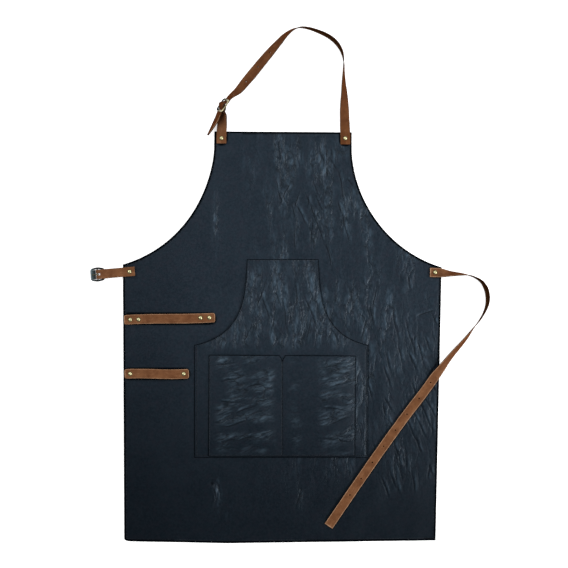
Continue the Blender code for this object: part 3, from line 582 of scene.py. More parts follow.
LONG_CREASES = (
    (0.040, 0.338, 0.105, 0.165), (0.058, 0.352, 0.098, 0.262), (0.075, 0.425, 0.108, 0.318),
    (0.100, 0.420, 0.086, 0.345), (0.022, 0.300, 0.060, 0.228), (0.118, 0.380, 0.138, 0.268),
    (0.282, 0.041, 0.336, 0.062), (0.292, -0.105, 0.338, -0.186), (0.262, -0.122, 0.318, -0.232),
    (0.302, -0.068, 0.336, -0.122), (0.236, -0.205, 0.262, -0.300), (0.188, 0.052, 0.166, -0.010),
    (0.044, -0.316, 0.028, -0.372), (-0.008, 0.432, -0.002, 0.372), (-0.018, 0.352, 0.008, 0.262),
    (0.024, 0.346, -0.012, 0.270), (0.210, -0.290, 0.232, -0.352), (0.276, -0.098, 0.330, -0.214),
    (0.250, -0.140, 0.296, -0.238), (0.312, -0.052, 0.340, -0.098), (0.205, 0.120, 0.190, 0.030),
    (0.232, 0.090, 0.252, -0.020), (0.262, 0.050, 0.286, -0.040), (0.178, -0.060, 0.196, -0.150),
    (0.216, -0.052, 0.236, -0.120), (0.120, 0.300, 0.150, 0.180), (0.086, 0.250, 0.110, 0.130),
)
POCKET_CREASES = (
    (-0.052, 0.118, -0.022, 0.020), (-0.028, 0.140, -0.058, 0.050), (0.028, 0.132, 0.034, 0.048),
    (0.040, 0.110, 0.086, -0.006), (-0.060, 0.040, -0.084, -0.020), (0.000, 0.096, 0.012, 0.004),
    (-0.010, 0.060, -0.030, -0.014), (0.064, 0.056, 0.052, -0.016), (0.100, 0.028, 0.128, -0.020),
)
TOOL_POCKET_CREASES = (
    (-0.142, -0.062, -0.090, -0.052), (-0.136, -0.098, -0.070, -0.080), (-0.140, -0.136, -0.080, -0.142),
    (-0.118, -0.170, -0.040, -0.140), (-0.134, -0.196, -0.064, -0.176), (-0.120, -0.226, -0.030, -0.206),
    (-0.080, -0.108, -0.030, -0.096), (0.084, -0.066, 0.146, -0.054), (0.092, -0.110, 0.150, -0.094),
    (0.078, -0.150, 0.148, -0.158), (0.090, -0.190, 0.152, -0.168), (0.084, -0.216, 0.150, -0.226),
)


def strewn_creases(seed, low, high, lean, count):
    """Short creases strewn over a rectangle, all running roughly one way; lean is in degrees."""
    random = np.random.default_rng(seed)
    starts = random.uniform(low, high, (count, 2))
    runs = random.uniform(0.030, 0.070, count)
    angles = radians(lean) + random.normal(0.0, 0.22, count)
    ends = starts + np.stack((runs * np.sin(angles), -runs * np.cos(angles)), axis=1)
    return tuple((*map(float, start), *map(float, end)) for start, end in zip(starts, ends))


SMALL_CREASES = (
    strewn_creases(31, (0.185, -0.300), (0.325, 0.150), 14, 26)
    + strewn_creases(32, (0.020, 0.190), (0.140, 0.420), 8, 12)
)


def folds(x, y, lines):
    """Single creases: a narrow valley with a low ridge on its left, for each line."""
    height = np.zeros_like(x)
    for start_x, start_y, end_x, end_y in lines:
        run = np.hypot(end_x - start_x, end_y - start_y)
        along_x, along_y = (end_x - start_x) / run, (end_y - start_y) / run
        along = (x - start_x) * along_x + (y - start_y) * along_y
        off = (y - start_y) * along_x - (x - start_x) * along_y
        off = off + 0.0009 * np.sin(along * 110.0 + start_x * 900.0)
        ends = smooth(0.0, 0.35 * run, along) * smooth(run, 0.65 * run, along)
        valley = -bell(off, 0.0016) + 0.55 * bell(off - 0.0042, 0.0028)
        height = height + valley * ends
    return height


class Surface:
    """What the sheets share. net is the crease net's shift, tilt and spacing across and along;
    the mesh stays fine where crumpling or a fold passes fine_amount or fine_fold."""

    net = (0.0, 0, 0.012, 0.050)
    creases = ()
    fine_amount = 0.14
    fine_fold = 0.01
    depth = 0.0

    def pillows(self, points):
        shift, *net = self.net
        return relief(points[:, 0] + shift, points[:, 1], *net)

    def folds(self, points):
        return folds(points[:, 0], points[:, 1], self.creases)

    def keep_fine(self, points):
        near_fold = np.abs(self.folds(points)) > self.fine_fold
        return (self.amount(points) > self.fine_amount) | near_fold

    def carved(self, points):
        return self.amount(points) * (1 - self.pillows(points)) * self.depth


STRAP_SIDE = 0.0125
# Painted shade beside the straps: the loose strap's band is shifted towards its upper left.
LOOSE_SHADOW_SHIFT = (-0.0013, 0.0010)
FIXED_SHADOW_END = (0.0152, 0.0126)
LOOSE_SHADOW_END = (0.0148, 0.0126)
LOOSE_SHADOW_START = (0.0080, 0.0105)


class Panel(Surface):
    """The panel's surface: where it is pressed flat, crumpled or puckered."""

    creases = LONG_CREASES + SMALL_CREASES
    fine_fold = 0.03
    depth = 0.00120

    def __init__(self, pressed, rows):
        self.outline = panel_outline()
        self.seams = [beside(row, side * STRAP_SIDE) for row in rows for side in (-1, 1)]
        self.pressed = pressed
        self.straps = np.concatenate([dense(row, False, 0.0010) for row in rows[1:]])
        self.loose_strap = dense(rows[0] + np.array(LOOSE_SHADOW_SHIFT), False, 0.0010)
        self.pocket = np.concatenate(list(big_pocket_sides().values()))
        self.pocket_edge = dense(self.pocket, True, 0.002)

    def free(self, points):
        """0 under the pocket and the straps, 1 well away from them."""
        away = smooth(0.012, 0.045, distance_to(points, self.pressed))
        outside = np.where(inside(points, self.pocket), 0.0, 1.0)
        return away * outside * smooth(0.0, 0.030, distance_to(points, self.pocket_edge))

    def amount(self, points):
        covered = inside(points, self.pocket)
        covered &= distance_to(points, self.pocket_edge) > 0.010
        return np.where(covered, 0.0, panel_amount(points[:, 0], points[:, 1]))

    def lift(self, points):
        """Broad waves where nothing holds the leather down."""
        x, y = points[:, 0], points[:, 1]
        waves = 0.5 + SWELL(x / 0.085, y / 0.150) + 0.5 * SWELL(x / 0.040 + 7, y / 0.070)
        return np.clip(waves, 0.0, 1.4) * 0.0017 * self.free(points)

    def painted_shade_lines(self, points):
        """Painted shade along the straps that lie on it, weaker and shifted to one side for the loose
        one, and painted shade in the dimple.
        """
        fixed = 0.92 * smooth(*FIXED_SHADOW_END, distance_to(points, self.straps))
        reach = distance_to(points, self.loose_strap)
        loose = 0.60 * smooth(*LOOSE_SHADOW_END, reach) * smooth(*LOOSE_SHADOW_START, reach)
        to_dimple = np.hypot(points[:, 0] - DIMPLE[0], points[:, 1] - DIMPLE[1])
        return np.maximum(np.maximum(fixed, loose), 0.85 * bell(to_dimple, 0.0036))

    def back(self, points, _):
        return self.lift(points)

    def front(self, points, distance):
        x, y = points[:, 0], points[:, 1]
        carved = self.carved(points)
        to_dimple = np.hypot(x - DIMPLE[0], y - DIMPLE[1])
        carved += 0.0013 * bell(to_dimple, 0.0050)
        fold = blob(x, y, DIMPLE[0] + 0.006, DIMPLE[1] - 0.016, 0.0028, 0.014)
        seam = bell(distance - PANEL_SEAM_INSET, 0.0007) * 0.00035
        height = PANEL_THICKNESS + 0.0001 - carved - seam + 0.0011 * fold
        height = height + 0.00095 * folds(x, y, LONG_CREASES) + 0.00070 * folds(x, y, SMALL_CREASES)
        return self.lift(points) + height

    def keep_fine(self, points):
        near_dimple = np.linalg.norm(points - np.array(DIMPLE), axis=1) < 0.035
        return super().keep_fine(points) | near_dimple


# ---------------------------------------------------------------- pocket surfaces

BIG_POCKET_BASE = PANEL_THICKNESS + TOUCH_GAP
BIG_POCKET_PUFF = 0.0034
PAIR_POCKET_PUFF = 0.0024
PUFF_REACH = 0.050


class BigPocket(Surface):
    """The kangaroo pocket's surface, sewn down at its top, sides and bottom."""

    net = (0.3, 0, 0.011, 0.042)
    creases = POCKET_CREASES
    fine_amount = 0.08
    depth = 0.00090

    def __init__(self):
        self.sides = big_pocket_sides()
        self.outline = np.concatenate(list(self.sides.values()))
        sewn = [self.sides[name] for name in ("bottom", "top", "right", "left")]
        self.sewn = np.concatenate([dense(side, False, 0.002) for side in sewn])
        mouths = (self.sides["left_mouth"], self.sides["right_mouth"])
        self.mouths = np.concatenate([dense(mouth, False, 0.002) for mouth in mouths])
        c = BIG_POCKET_CORNERS
        left, right = c["bottom_left"][0] + SEAM_INSET, c["bottom_right"][0] - SEAM_INSET
        low, mouth_y = c["bottom_left"][1] + SEAM_INSET, c["mouth_left"][1] - 0.004
        self.hem = np.array([(left, mouth_y), (left, low), (right, low), (right, mouth_y)])
        self.seams = [dense(self.hem, False, 0.002)]
        self.groove = dense(self.hem, False, 0.0005)
        self.cover = np.concatenate(list(pair_pocket_sides().values()))
        self.cover_edge = dense(self.cover, True, 0.002)

    def back(self, points, _):
        held = distance_to(points, self.sewn)
        puff = smooth(0.0, PUFF_REACH, held)
        pressed = 1 - 0.45 * bell(distance_to(points, self.mouths), 0.020)
        return BIG_POCKET_BASE + BIG_POCKET_PUFF * puff * pressed

    def painted_shade_lines(self, points):
        # Painted shade in the seam groove and along the stitch line inside the mouths.
        seam = bell(distance_to(points, self.groove), 0.0008)
        mouth = bell(distance_to(points, self.mouths) - MOUTH_INSET, 0.0005)
        return np.maximum(0.75 * seam, 0.45 * mouth)

    def amount(self, points):
        x, y = points[:, 0], points[:, 1]
        middle = smooth(0.175, 0.135, np.abs(x + 0.002)) * smooth(-0.040, -0.005, y)
        patches = smooth(-0.25, 0.20, PATCHES(x / 0.024 + 40, y / 0.070))
        right = smooth(0.150, 0.160, x) * 0.75 * patches
        amount = middle * (0.25 + 0.75 * patches) + right
        covered = inside(points, self.cover)
        covered &= distance_to(points, self.cover_edge) > 0.006
        return np.where(covered, 0.0, np.clip(amount, 0.0, 1.0))

    def front(self, points, distance):
        carved = self.carved(points)
        seam = bell(distance_to(points, self.groove), 0.0009) * 0.00045
        mouth = distance_to(points, self.mouths)
        seam += bell(mouth - MOUTH_INSET, 0.0006) * 0.00020
        seam = seam - 0.00070 * self.folds(points)
        return self.back(points, distance) + POCKET_THICKNESS - carved - seam


class PairPocket(Surface):
    """The two open pockets' surface, sewn down at its sides, bottom and middle."""

    net = (0.0, -72, 0.011, 0.046)
    creases = TOOL_POCKET_CREASES
    fine_amount = 0.06
    depth = 0.00110

    def __init__(self, under):
        self.under = under
        self.sides = pair_pocket_sides()
        self.outline = np.concatenate(list(self.sides.values()))
        sewn = [dense(self.sides[name], False, 0.002) for name in ("bottom", "right", "left")]
        divider = np.array([(DIVIDER_X, PAIR_POCKET_BOTTOM), (DIVIDER_X, PAIR_POCKET_TOP)])
        self.divider = dense(divider, False, 0.002)
        self.sewn = np.concatenate((*sewn, self.divider))
        tip = PAIR_POCKET_TOP - NOTCH_DEPTH - 0.001
        self.seams = [np.array([(DIVIDER_X, PAIR_POCKET_BOTTOM + 0.004), (DIVIDER_X, tip)])]
        groove = np.array([(DIVIDER_X, PAIR_POCKET_BOTTOM), (DIVIDER_X, tip)])
        self.groove = dense(groove, False, 0.0005)

    def back(self, points, distance):
        below = self.under.back(points, distance) + POCKET_THICKNESS + 0.0002
        puff = smooth(0.0, PUFF_REACH, distance_to(points, self.sewn))
        return below + PAIR_POCKET_PUFF * puff

    def painted_shade_lines(self, points):
        # Painted shade in the divider's seam groove and along the stitch line inside the sewn edges.
        seam = bell(distance_to(points, self.groove), 0.0009)
        hem = bell(distance_to(points, self.sewn) - MOUTH_INSET, 0.0005)
        return np.maximum(0.80 * seam, 0.30 * hem)

    def amount(self, points):
        x, y = points[:, 0], points[:, 1]
        patches = smooth(-0.28, 0.16, PATCHES(x / 0.055 + 80, y / 0.026))
        left = smooth(-0.150, -0.128, x) * smooth(-0.010, -0.030, x)
        right = smooth(0.070, 0.095, x)
        middle = 0.55 * blob(x, 0, 0.030, 0, 0.012, 1.0)
        rise = smooth(PAIR_POCKET_BOTTOM, PAIR_POCKET_BOTTOM + 0.045, y)
        return np.clip((left + right + middle) * patches * (0.3 + 0.7 * rise), 0.0, 1.0)

    def front(self, points, distance):
        carved = self.carved(points)
        seam = bell(distance_to(points, self.groove), 0.0009) * 0.00060
        seam += bell(distance_to(points, self.sewn) - MOUTH_INSET, 0.0006) * 0.00020
        seam = seam - 0.00085 * self.folds(points)
        return self.back(points, distance) + POCKET_THICKNESS - carved - seam


# ---------------------------------------------------------------- stitches

def stitch_row(shape, route, height):
    """Add thread stitches along a route of points, each dipping into the leather at its ends."""
    along = lengths_along(route)
    count = int(along[-1] / STITCH_PITCH)
    if count < 1:
        return
    starts = (np.arange(count) + 0.5) * along[-1] / count
    dips = ((-1.0, -0.9, 0.5), (-0.72, 0.25, 1.0), (0.0, 0.75, 1.0), (0.72, 0.25, 1.0), (1.0, -0.9, 0.5))
    samples = np.concatenate([starts + d[0] * STITCH_LENGTH / 2 for d in dips])
    x = np.interp(samples, along, route[:, 0])
    y = np.interp(samples, along, route[:, 1])
    z = height(np.column_stack((x, y)))
    places = np.column_stack((x, y, z)).reshape(len(dips), count, 3)
    for stitch in range(count):
        run = Vector(places[-1, stitch] - places[0, stitch])
        run.z = 0.0
        run.normalize()
        side = Vector((-run.y, run.x, 0.0))
        rings = []
        for (_, dip, girth), place in zip(dips, places[:, stitch]):
            centre = Vector(place) + Vector((0, 0, dip * THREAD_RADIUS))
            ring = []
            for k in range(6):
                angle = k * pi / 3
                spread = side * cos(angle) + Vector((0, 0, 1)) * sin(angle)
                ring.append(shape.verts.new(centre + spread * THREAD_RADIUS * girth))
            rings.append(ring)
        for first, second in zip(rings, rings[1:]):
            for k in range(6):
                shape.faces.new((first[k], first[k - 1], second[k - 1], second[k]))
        shape.faces.new(rings[0])
        shape.faces.new(reversed(rings[-1]))


def stitches(name, rows, height):
    """One object that holds several rows of stitches."""
    shape = bmesh.new()
    for row in rows:
        stitch_row(shape, np.asarray(row, float), height)
    return finish_shape(name, shape)


def finish_shape(name, shape):
    """Turn a bmesh into a smooth object."""
    bmesh.ops.recalc_face_normals(shape, faces=shape.faces)
    mesh = bpy.data.meshes.new(name)
    shape.to_mesh(mesh)
    shape.free()
    return add_smooth(name, mesh)


def bar_tack(centre, length, width):
    """Zigzag of thread that fastens the end of a pocket's mouth."""
    count = int(length / 0.0009)
    return np.array([
        (centre[0] + (width / 2 if i % 2 else -width / 2), centre[1] + (i / count - 0.5) * length)
        for i in range(count + 1)
    ])


# ---------------------------------------------------------------- strap routes

def buckle_frame_matrix(centre, heading, lean):
    """Buckle frame: X along the rails, Y along the bar to the low side, Z out of the front."""
    along = Vector((cos(heading), sin(heading), 0.0))
    inner = Vector((sin(heading), -cos(heading), 0.0))
    high_side = inner * cos(lean) + Vector((0, 0, 1)) * sin(lean)
    front = Vector((0, 0, 1)) * cos(lean) - inner * sin(lean)
    matrix = Matrix((along, -high_side, front)).transposed().to_4x4()
    matrix.translation = Vector(centre)
    return matrix


def lying_stations(route, width, thickness, turns):
    """Centre and across direction of a strap lying at each lean; turns is 1 left, -1 right."""
    stations = []
    last = len(route) - 1
    for i, (x, y, lean, rest) in enumerate(route):
        before = route[max(i - 1, 0)]
        after = route[min(i + 1, last)]
        heading = Vector((after[0] - before[0], after[1] - before[1], 0.0)).normalized()
        inner = Vector((-heading.y, heading.x, 0.0)) * turns
        tilt = radians(lean)
        lift = width / 2 * sin(tilt) + thickness / 2 * abs(cos(tilt))
        centre = Vector((x, y, rest + TOUCH_GAP + lift))
        stations.append((centre, inner * cos(tilt) + Vector((0, 0, 1)) * sin(tilt)))
    return stations


class SmoothRoute:
    """Smooth curve through stations, read by distance along it."""

    def __init__(self, stations):
        self.knots = np.array([(*centre, *side) for centre, side in stations])
        steps = np.linalg.norm(np.diff(self.knots[:, :3], axis=0), axis=1)
        self.chord = np.concatenate(([0.0], np.cumsum(steps)))
        self.slopes = np.gradient(self.knots, self.chord, axis=0)
        self.settle(steps)
        self.length = float(self.chord[-1])

    def settle(self, steps):
        """Keep height and lean from dipping past a level stretch."""
        rates = np.diff(self.knots, axis=0) / steps[:, None]
        for i in range(1, len(self.knots) - 1):
            for part in range(2, 6):
                before, after = rates[i - 1, part], rates[i, part]
                if before * after <= 0:
                    self.slopes[i, part] = 0.0
                else:
                    steepest = 3 * min(abs(before), abs(after))
                    self.slopes[i, part] = np.clip(self.slopes[i, part], -steepest, steepest)

    def read(self, distance):
        i = int(np.clip(np.searchsorted(self.chord, distance) - 1, 0, len(self.chord) - 2))
        step = self.chord[i + 1] - self.chord[i]
        t = (distance - self.chord[i]) / step
        start = (2 * t**3 - 3 * t**2 + 1) * self.knots[i]
        leave = (t**3 - 2 * t**2 + t) * step * self.slopes[i]
        end = (3 * t**2 - 2 * t**3) * self.knots[i + 1]
        arrive = (t**3 - t**2) * step * self.slopes[i + 1]
        return start + leave + end + arrive

    def frame(self, distance):
        """Centre, across and outward directions at a distance along the strap."""
        here = self.read(distance)
        ahead = self.read(min(distance + 1e-4, self.length))
        behind = self.read(max(distance - 1e-4, 0.0))
        along = Vector(ahead[:3] - behind[:3]).normalized()
        side = Vector(here[3:])
        side = (side - along * side.dot(along)).normalized()
        return Vector(here[:3]), side, along.cross(side).normalized()

    def frames(self):
        count = max(int(self.length / STRAP_STEP), 2)
        return [self.frame(d) for d in np.linspace(0.0, self.length, count + 1)]


def strap_height_in_buckle(u):
    """Height of the neck strap's middle over the buckle plane, u from the centre bar."""
    if abs(u) >= STRAP_HUMP_HALF_LENGTH:
        return STRAP_LOW
    return STRAP_LOW + STRAP_HUMP * 0.5 * (1 + cos(pi * u / STRAP_HUMP_HALF_LENGTH))


def stations_in_buckle(buckle, points):
    """Stations from (along, height) points in a buckle's own frame."""
    side = buckle.to_3x3() @ Vector((0, -1, 0))
    return [(buckle @ Vector((u, 0.0, height)), side) for u, height in points]


# ---------------------------------------------------------------- straps

FACE, RAW, FLESH, SIDE, PALE = 0, 1, 2, 3, 4


def strap_section(width, thickness, margin):
    """Closed section of a strap as (across, out, finish), with creased margins and soft edges."""
    half, thin = width / 2, thickness / 2
    face = [
        (-half + 0.00040, thin - 0.00018, RAW),
        (-half + margin, thin, FACE),
        (-half + margin + 0.0008, thin - 0.00012, FACE),
        (-half + margin + 0.0014, thin - 0.00002, FACE),
        (-half * 0.45, thin, FACE),
        (0.0, thin, FACE),
    ]
    face += [(-across, out, finish) for across, out, finish in reversed(face[:-1])]
    face[-1] = (half - 0.00040, thin - 0.00018, RAW)
    edge = [(half - 0.00008, thin * 0.45, SIDE), (half, -0.00005, SIDE)]
    edge.append((half - 0.00010, -thin * 0.6, SIDE))
    under = [(half - 0.0005, -thin, FLESH), (0.0, -thin, FLESH), (-half + 0.0005, -thin, SIDE)]
    other = [(-across, out, SIDE) for across, out, _ in reversed(edge)]
    return face + edge + under + other


def pulled_in(from_end):
    """How far a rounded end pulls in the strap's edges."""
    short = max(STRAP_CORNER_RADIUS - from_end, 0.0)
    return STRAP_CORNER_RADIUS - sqrt(max(STRAP_CORNER_RADIUS**2 - short**2, 0.0))


def strap_rings(shape, frames, section, along, width, grain_out, wobble, rounded):
    """The section's points at each frame, a little uneven in width and on the grain side."""
    rings = []
    for distance, (centre, side, outward) in zip(along, frames):
        narrow = STRAP_TAPER + float(wobble(distance / 0.018, 0.5)) * STRAP_WAVER
        if rounded:
            narrow += pulled_in(distance) + pulled_in(along[-1] - distance)
        squeeze = 1 - 2 * narrow / width
        ring = []
        for across, out, _ in section:
            uneven = float(wobble(distance / 0.012, across / 0.008 + 3)) * STRAP_UNEVEN
            depth = (out + (uneven if out > 0 else 0.0)) * grain_out
            ring.append(shape.verts.new(centre + side * across * squeeze + outward * depth))
        rings.append(ring)
    return rings


def strap_finish(point, after, from_end, at_end, outer, tail, lit_side):
    """Finish of a strap's face between two points of its section."""
    finishes = {point[2], after[2]}
    on_top = finishes <= {RAW, FACE}
    if on_top and at_end:
        return RAW
    # Painted shade: the last part of the tail takes the dark edge colour.
    if from_end < min(tail, STRAP_TIP):
        return SIDE
    # Painted highlight and shade: along the tail one margin takes the pale raw colour, the other the
    # dark edge colour.
    if on_top and from_end < tail and min(abs(point[0]), abs(after[0])) > outer:
        return PALE if point[0] * lit_side > 0 else SIDE
    return RAW if finishes == {RAW, FACE} else max(finishes)


def sweep_strap(name, frames, width, thickness, grain_out, seed, margin=0.0006, tail=0.0, rounded=False):
    """Sweep the strap's section along frames. Over its tail the free end takes the pale raw colour at
    one edge as painted highlight, and the dark edge colour at the other edge and at its tip as painted
    shade.
    """
    section = strap_section(width, thickness, margin)
    along = lengths_along(np.array([tuple(centre) for centre, _, _ in frames]))
    shape = bmesh.new()
    uv = shape.loops.layers.uv.new("strap")
    rings = strap_rings(shape, frames, section, along, width, grain_out, Noise(seed), rounded)
    lit_side = 1 if frames[-1][1].x > 0 else -1
    outer = width / 2 - margin - PALE_STRIP
    for i, (first, second) in enumerate(zip(rings, rings[1:])):
        from_end = along[-1] - along[i]
        at_end = min(along[i + 1], from_end) < margin + 0.0004
        for k, point in enumerate(section):
            after = (k + 1) % len(section)
            face = shape.faces.new((first[k], first[after], second[after], second[k]))
            face.material_index = strap_finish(
                point, section[after], from_end, at_end, outer, tail, lit_side
            )
            places = ((i, k), (i, after), (i + 1, after), (i + 1, k))
            for loop, (ring_index, corner) in zip(face.loops, places):
                loop[uv].uv = (along[ring_index], section[corner][0])
    for ring in (rings[0], rings[-1]):
        cap = shape.faces.new(ring)
        cap.material_index = RAW
    obj = finish_shape(name, shape)
    obj.data.set_sharp_from_angle(angle=radians(40))
    lean = [1 - abs(outward.z) for _, _, outward in frames for _ in section]
    set_values(obj, "lean", lean)
    return obj


def rounded_frames(route):
    """Frames along a strap, close together at its rounded ends."""
    length = route.length
    distances = np.linspace(0.0, length, max(int(length / STRAP_STEP), 2) + 1)
    distances = [d for d in distances if d == 0 or d > STRAP_CORNER_RADIUS]
    distances = [d for d in distances if d == length or length - d > STRAP_CORNER_RADIUS]
    near = [STRAP_CORNER_RADIUS * (1 - cos(k * pi / 14)) for k in range(1, 7)]
    distances += near + [length - d for d in near]
    return [route.frame(d) for d in sorted(distances)]


def cylinder_mesh(shape, place, radius, length, sides):
    bmesh.ops.create_cone(
        shape, cap_ends=True, segments=sides, radius1=radius, radius2=radius, depth=length,
        matrix=place,
    )


def box_mesh(shape, place, low, high):
    size = Vector(high) - Vector(low)
    middle = Matrix.Translation((Vector(low) + Vector(high)) / 2)
    bmesh.ops.create_cube(shape, size=1.0, matrix=place @ middle @ Matrix.Diagonal((*size, 1.0)))


def facing(centre, direction):
    """Matrix at centre with its Z along the direction."""
    turn = Vector(direction).to_track_quat("Z", "Y").to_matrix().to_4x4()
    return Matrix.Translation(centre) @ turn


def cut_out(obj, shape, finish=RAW):
    """Cut a bmesh's solids out of an object; their walls get the given material slot."""
    for face in shape.faces:
        face.material_index = finish
    cutter = finish_shape(obj.name + "_cutter", shape)
    for material in obj.data.materials:
        cutter.data.materials.append(material)
    boolean(obj, cutter, "DIFFERENCE")


def combine(obj, shape, operation):
    """Join a bmesh's solids to an object, or cut them out of it."""
    boolean(obj, finish_shape(obj.name + "_" + operation.lower(), shape), operation)


def boolean(obj, other, operation):
    modifier = obj.modifiers.new(operation, "BOOLEAN")
    modifier.operation = operation
    modifier.object = other
    apply_modifiers(obj)
    bpy.data.objects.remove(other, do_unlink=True)


def apply_modifiers(obj):
    bpy.context.view_layer.update()
    graph = bpy.context.evaluated_depsgraph_get()
    evaluated = obj.evaluated_get(graph)
    mesh = bpy.data.meshes.new_from_object(
        evaluated, preserve_all_data_layers=True, depsgraph=graph
    )
    obj.modifiers.clear()
    obj.data = mesh


def punch_row(strap, route, face_side, first, pitch, count):
    """Adjusting holes, measured back from the free end; the leather closes up behind them."""
    shape = bmesh.new()
    for i in range(count):
        centre, _, outward = route.frame(route.length - first - i * pitch)
        place = facing(centre, outward * face_side)
        bmesh.ops.create_cone(
            shape, cap_ends=True, segments=20, radius1=PUNCH_CLOSED, radius2=PUNCH_OPEN,
            depth=0.0034, matrix=place,
        )
    cut_out(strap, shape, FLESH)


# ---------------------------------------------------------------- materials

class Material:
    """Small helper for building a node material."""

    def __init__(self, name):
        self.material = bpy.data.materials.new(name)
        self.material.use_nodes = True
        self.nodes = self.material.node_tree.nodes
        self.links = self.material.node_tree.links
        self.shader = self.nodes["Principled BSDF"]

    def add(self, kind, inputs=None, **settings):
        node = self.nodes.new("ShaderNode" + kind)
        for key, value in settings.items():
            setattr(node, key, value)
        for key, value in (inputs or {}).items():
            self.connect(value, node.inputs[key])
        return node

    def connect(self, value, socket):
        if isinstance(value, bpy.types.NodeSocket):
            self.links.new(value, socket)
        else:
            socket.default_value = value

    def set(self, name, value):
        self.connect(value, self.shader.inputs[name])

    def place(self, scale, turn=0.0, uv=None):
        """Coordinates of the piece, stretched by scale and turned about Z, in degrees."""
        if uv:
            source = self.add("UVMap", uv_map=uv).outputs["UV"]
        else:
            source = self.add("TexCoord").outputs["Object"]
        inputs = {"Vector": source, "Scale": scale, "Rotation": (0, 0, radians(turn))}
        return self.add("Mapping", inputs).outputs["Vector"]

    def stretch(self, vector, scale):
        return self.add("Mapping", {"Vector": vector, "Scale": scale}).outputs["Vector"]

    def warp(self, vector, scale, reach):
        """The vector pushed about by a broad noise, by up to half of reach."""
        noise = self.add("TexNoise", {"Vector": vector, "Scale": scale, "Detail": 2.0})
        centred = self.add("VectorMath", operation="SUBTRACT")
        self.links.new(noise.outputs["Color"], centred.inputs[0])
        centred.inputs[1].default_value = (0.5, 0.5, 0.5)
        pushed = self.add("VectorMath", operation="MULTIPLY_ADD")
        self.links.new(centred.outputs[0], pushed.inputs[0])
        pushed.inputs[1].default_value = (reach, reach, reach)
        self.links.new(vector, pushed.inputs[2])
        return pushed.outputs[0]

    def root(self, value):
        return self.maths("POWER", value, 0.6)

    def times(self, first, second):
        return self.maths("MULTIPLY", first, second)

    def plus(self, first, second):
        return self.maths("ADD", first, second)

    def noise(self, vector, scale, detail=3.0, roughness=0.55, distortion=0.0):
        inputs = {
            "Vector": vector, "Scale": scale, "Detail": detail, "Roughness": roughness,
            "Distortion": distortion,
        }
        return self.add("TexNoise", inputs).outputs["Fac"]

    def cells(self, vector, scale):
        inputs = {"Vector": vector, "Scale": scale}
        node = self.add("TexVoronoi", inputs, feature="DISTANCE_TO_EDGE")
        return node.outputs["Distance"]

    def value(self, name):
        return self.add("Attribute", attribute_name=name).outputs["Fac"]

    def span(self, value, low, high, to_low=0.0, to_high=1.0):
        inputs = {
            "Value": value, "From Min": low, "From Max": high, "To Min": to_low, "To Max": to_high,
        }
        return self.add("MapRange", inputs, clamp=True).outputs["Result"]

    def mix(self, amount, first, second):
        node = self.add("Mix", data_type="RGBA")
        self.connect(amount, node.inputs[0])
        self.connect((*first, 1.0) if isinstance(first, tuple) else first, node.inputs[6])
        self.connect((*second, 1.0) if isinstance(second, tuple) else second, node.inputs[7])
        return node.outputs[2]

    def maths(self, operation, first, second=0.0):
        node = self.add("Math", operation=operation)
        self.connect(first, node.inputs[0])
        self.connect(second, node.inputs[1])
        return node.outputs[0]

    def bump(self, height, strength, distance, normal=None):
        node = self.add("Bump", {"Height": height, "Strength": strength, "Distance": distance})
        if normal is not None:
            self.links.new(normal, node.inputs["Normal"])
        return node.outputs["Normal"]


NAVY_DARK = (0.0032, 0.0076, 0.0132)
NAVY_BASE = (0.0092, 0.0160, 0.0240)
NAVY_CREASE_SHADE = (0.0020, 0.0036, 0.0056)
NAVY_EDGE_AND_SHADE = (0.0006, 0.0012, 0.0020)
PLUM = (0.0140, 0.0135, 0.0215)


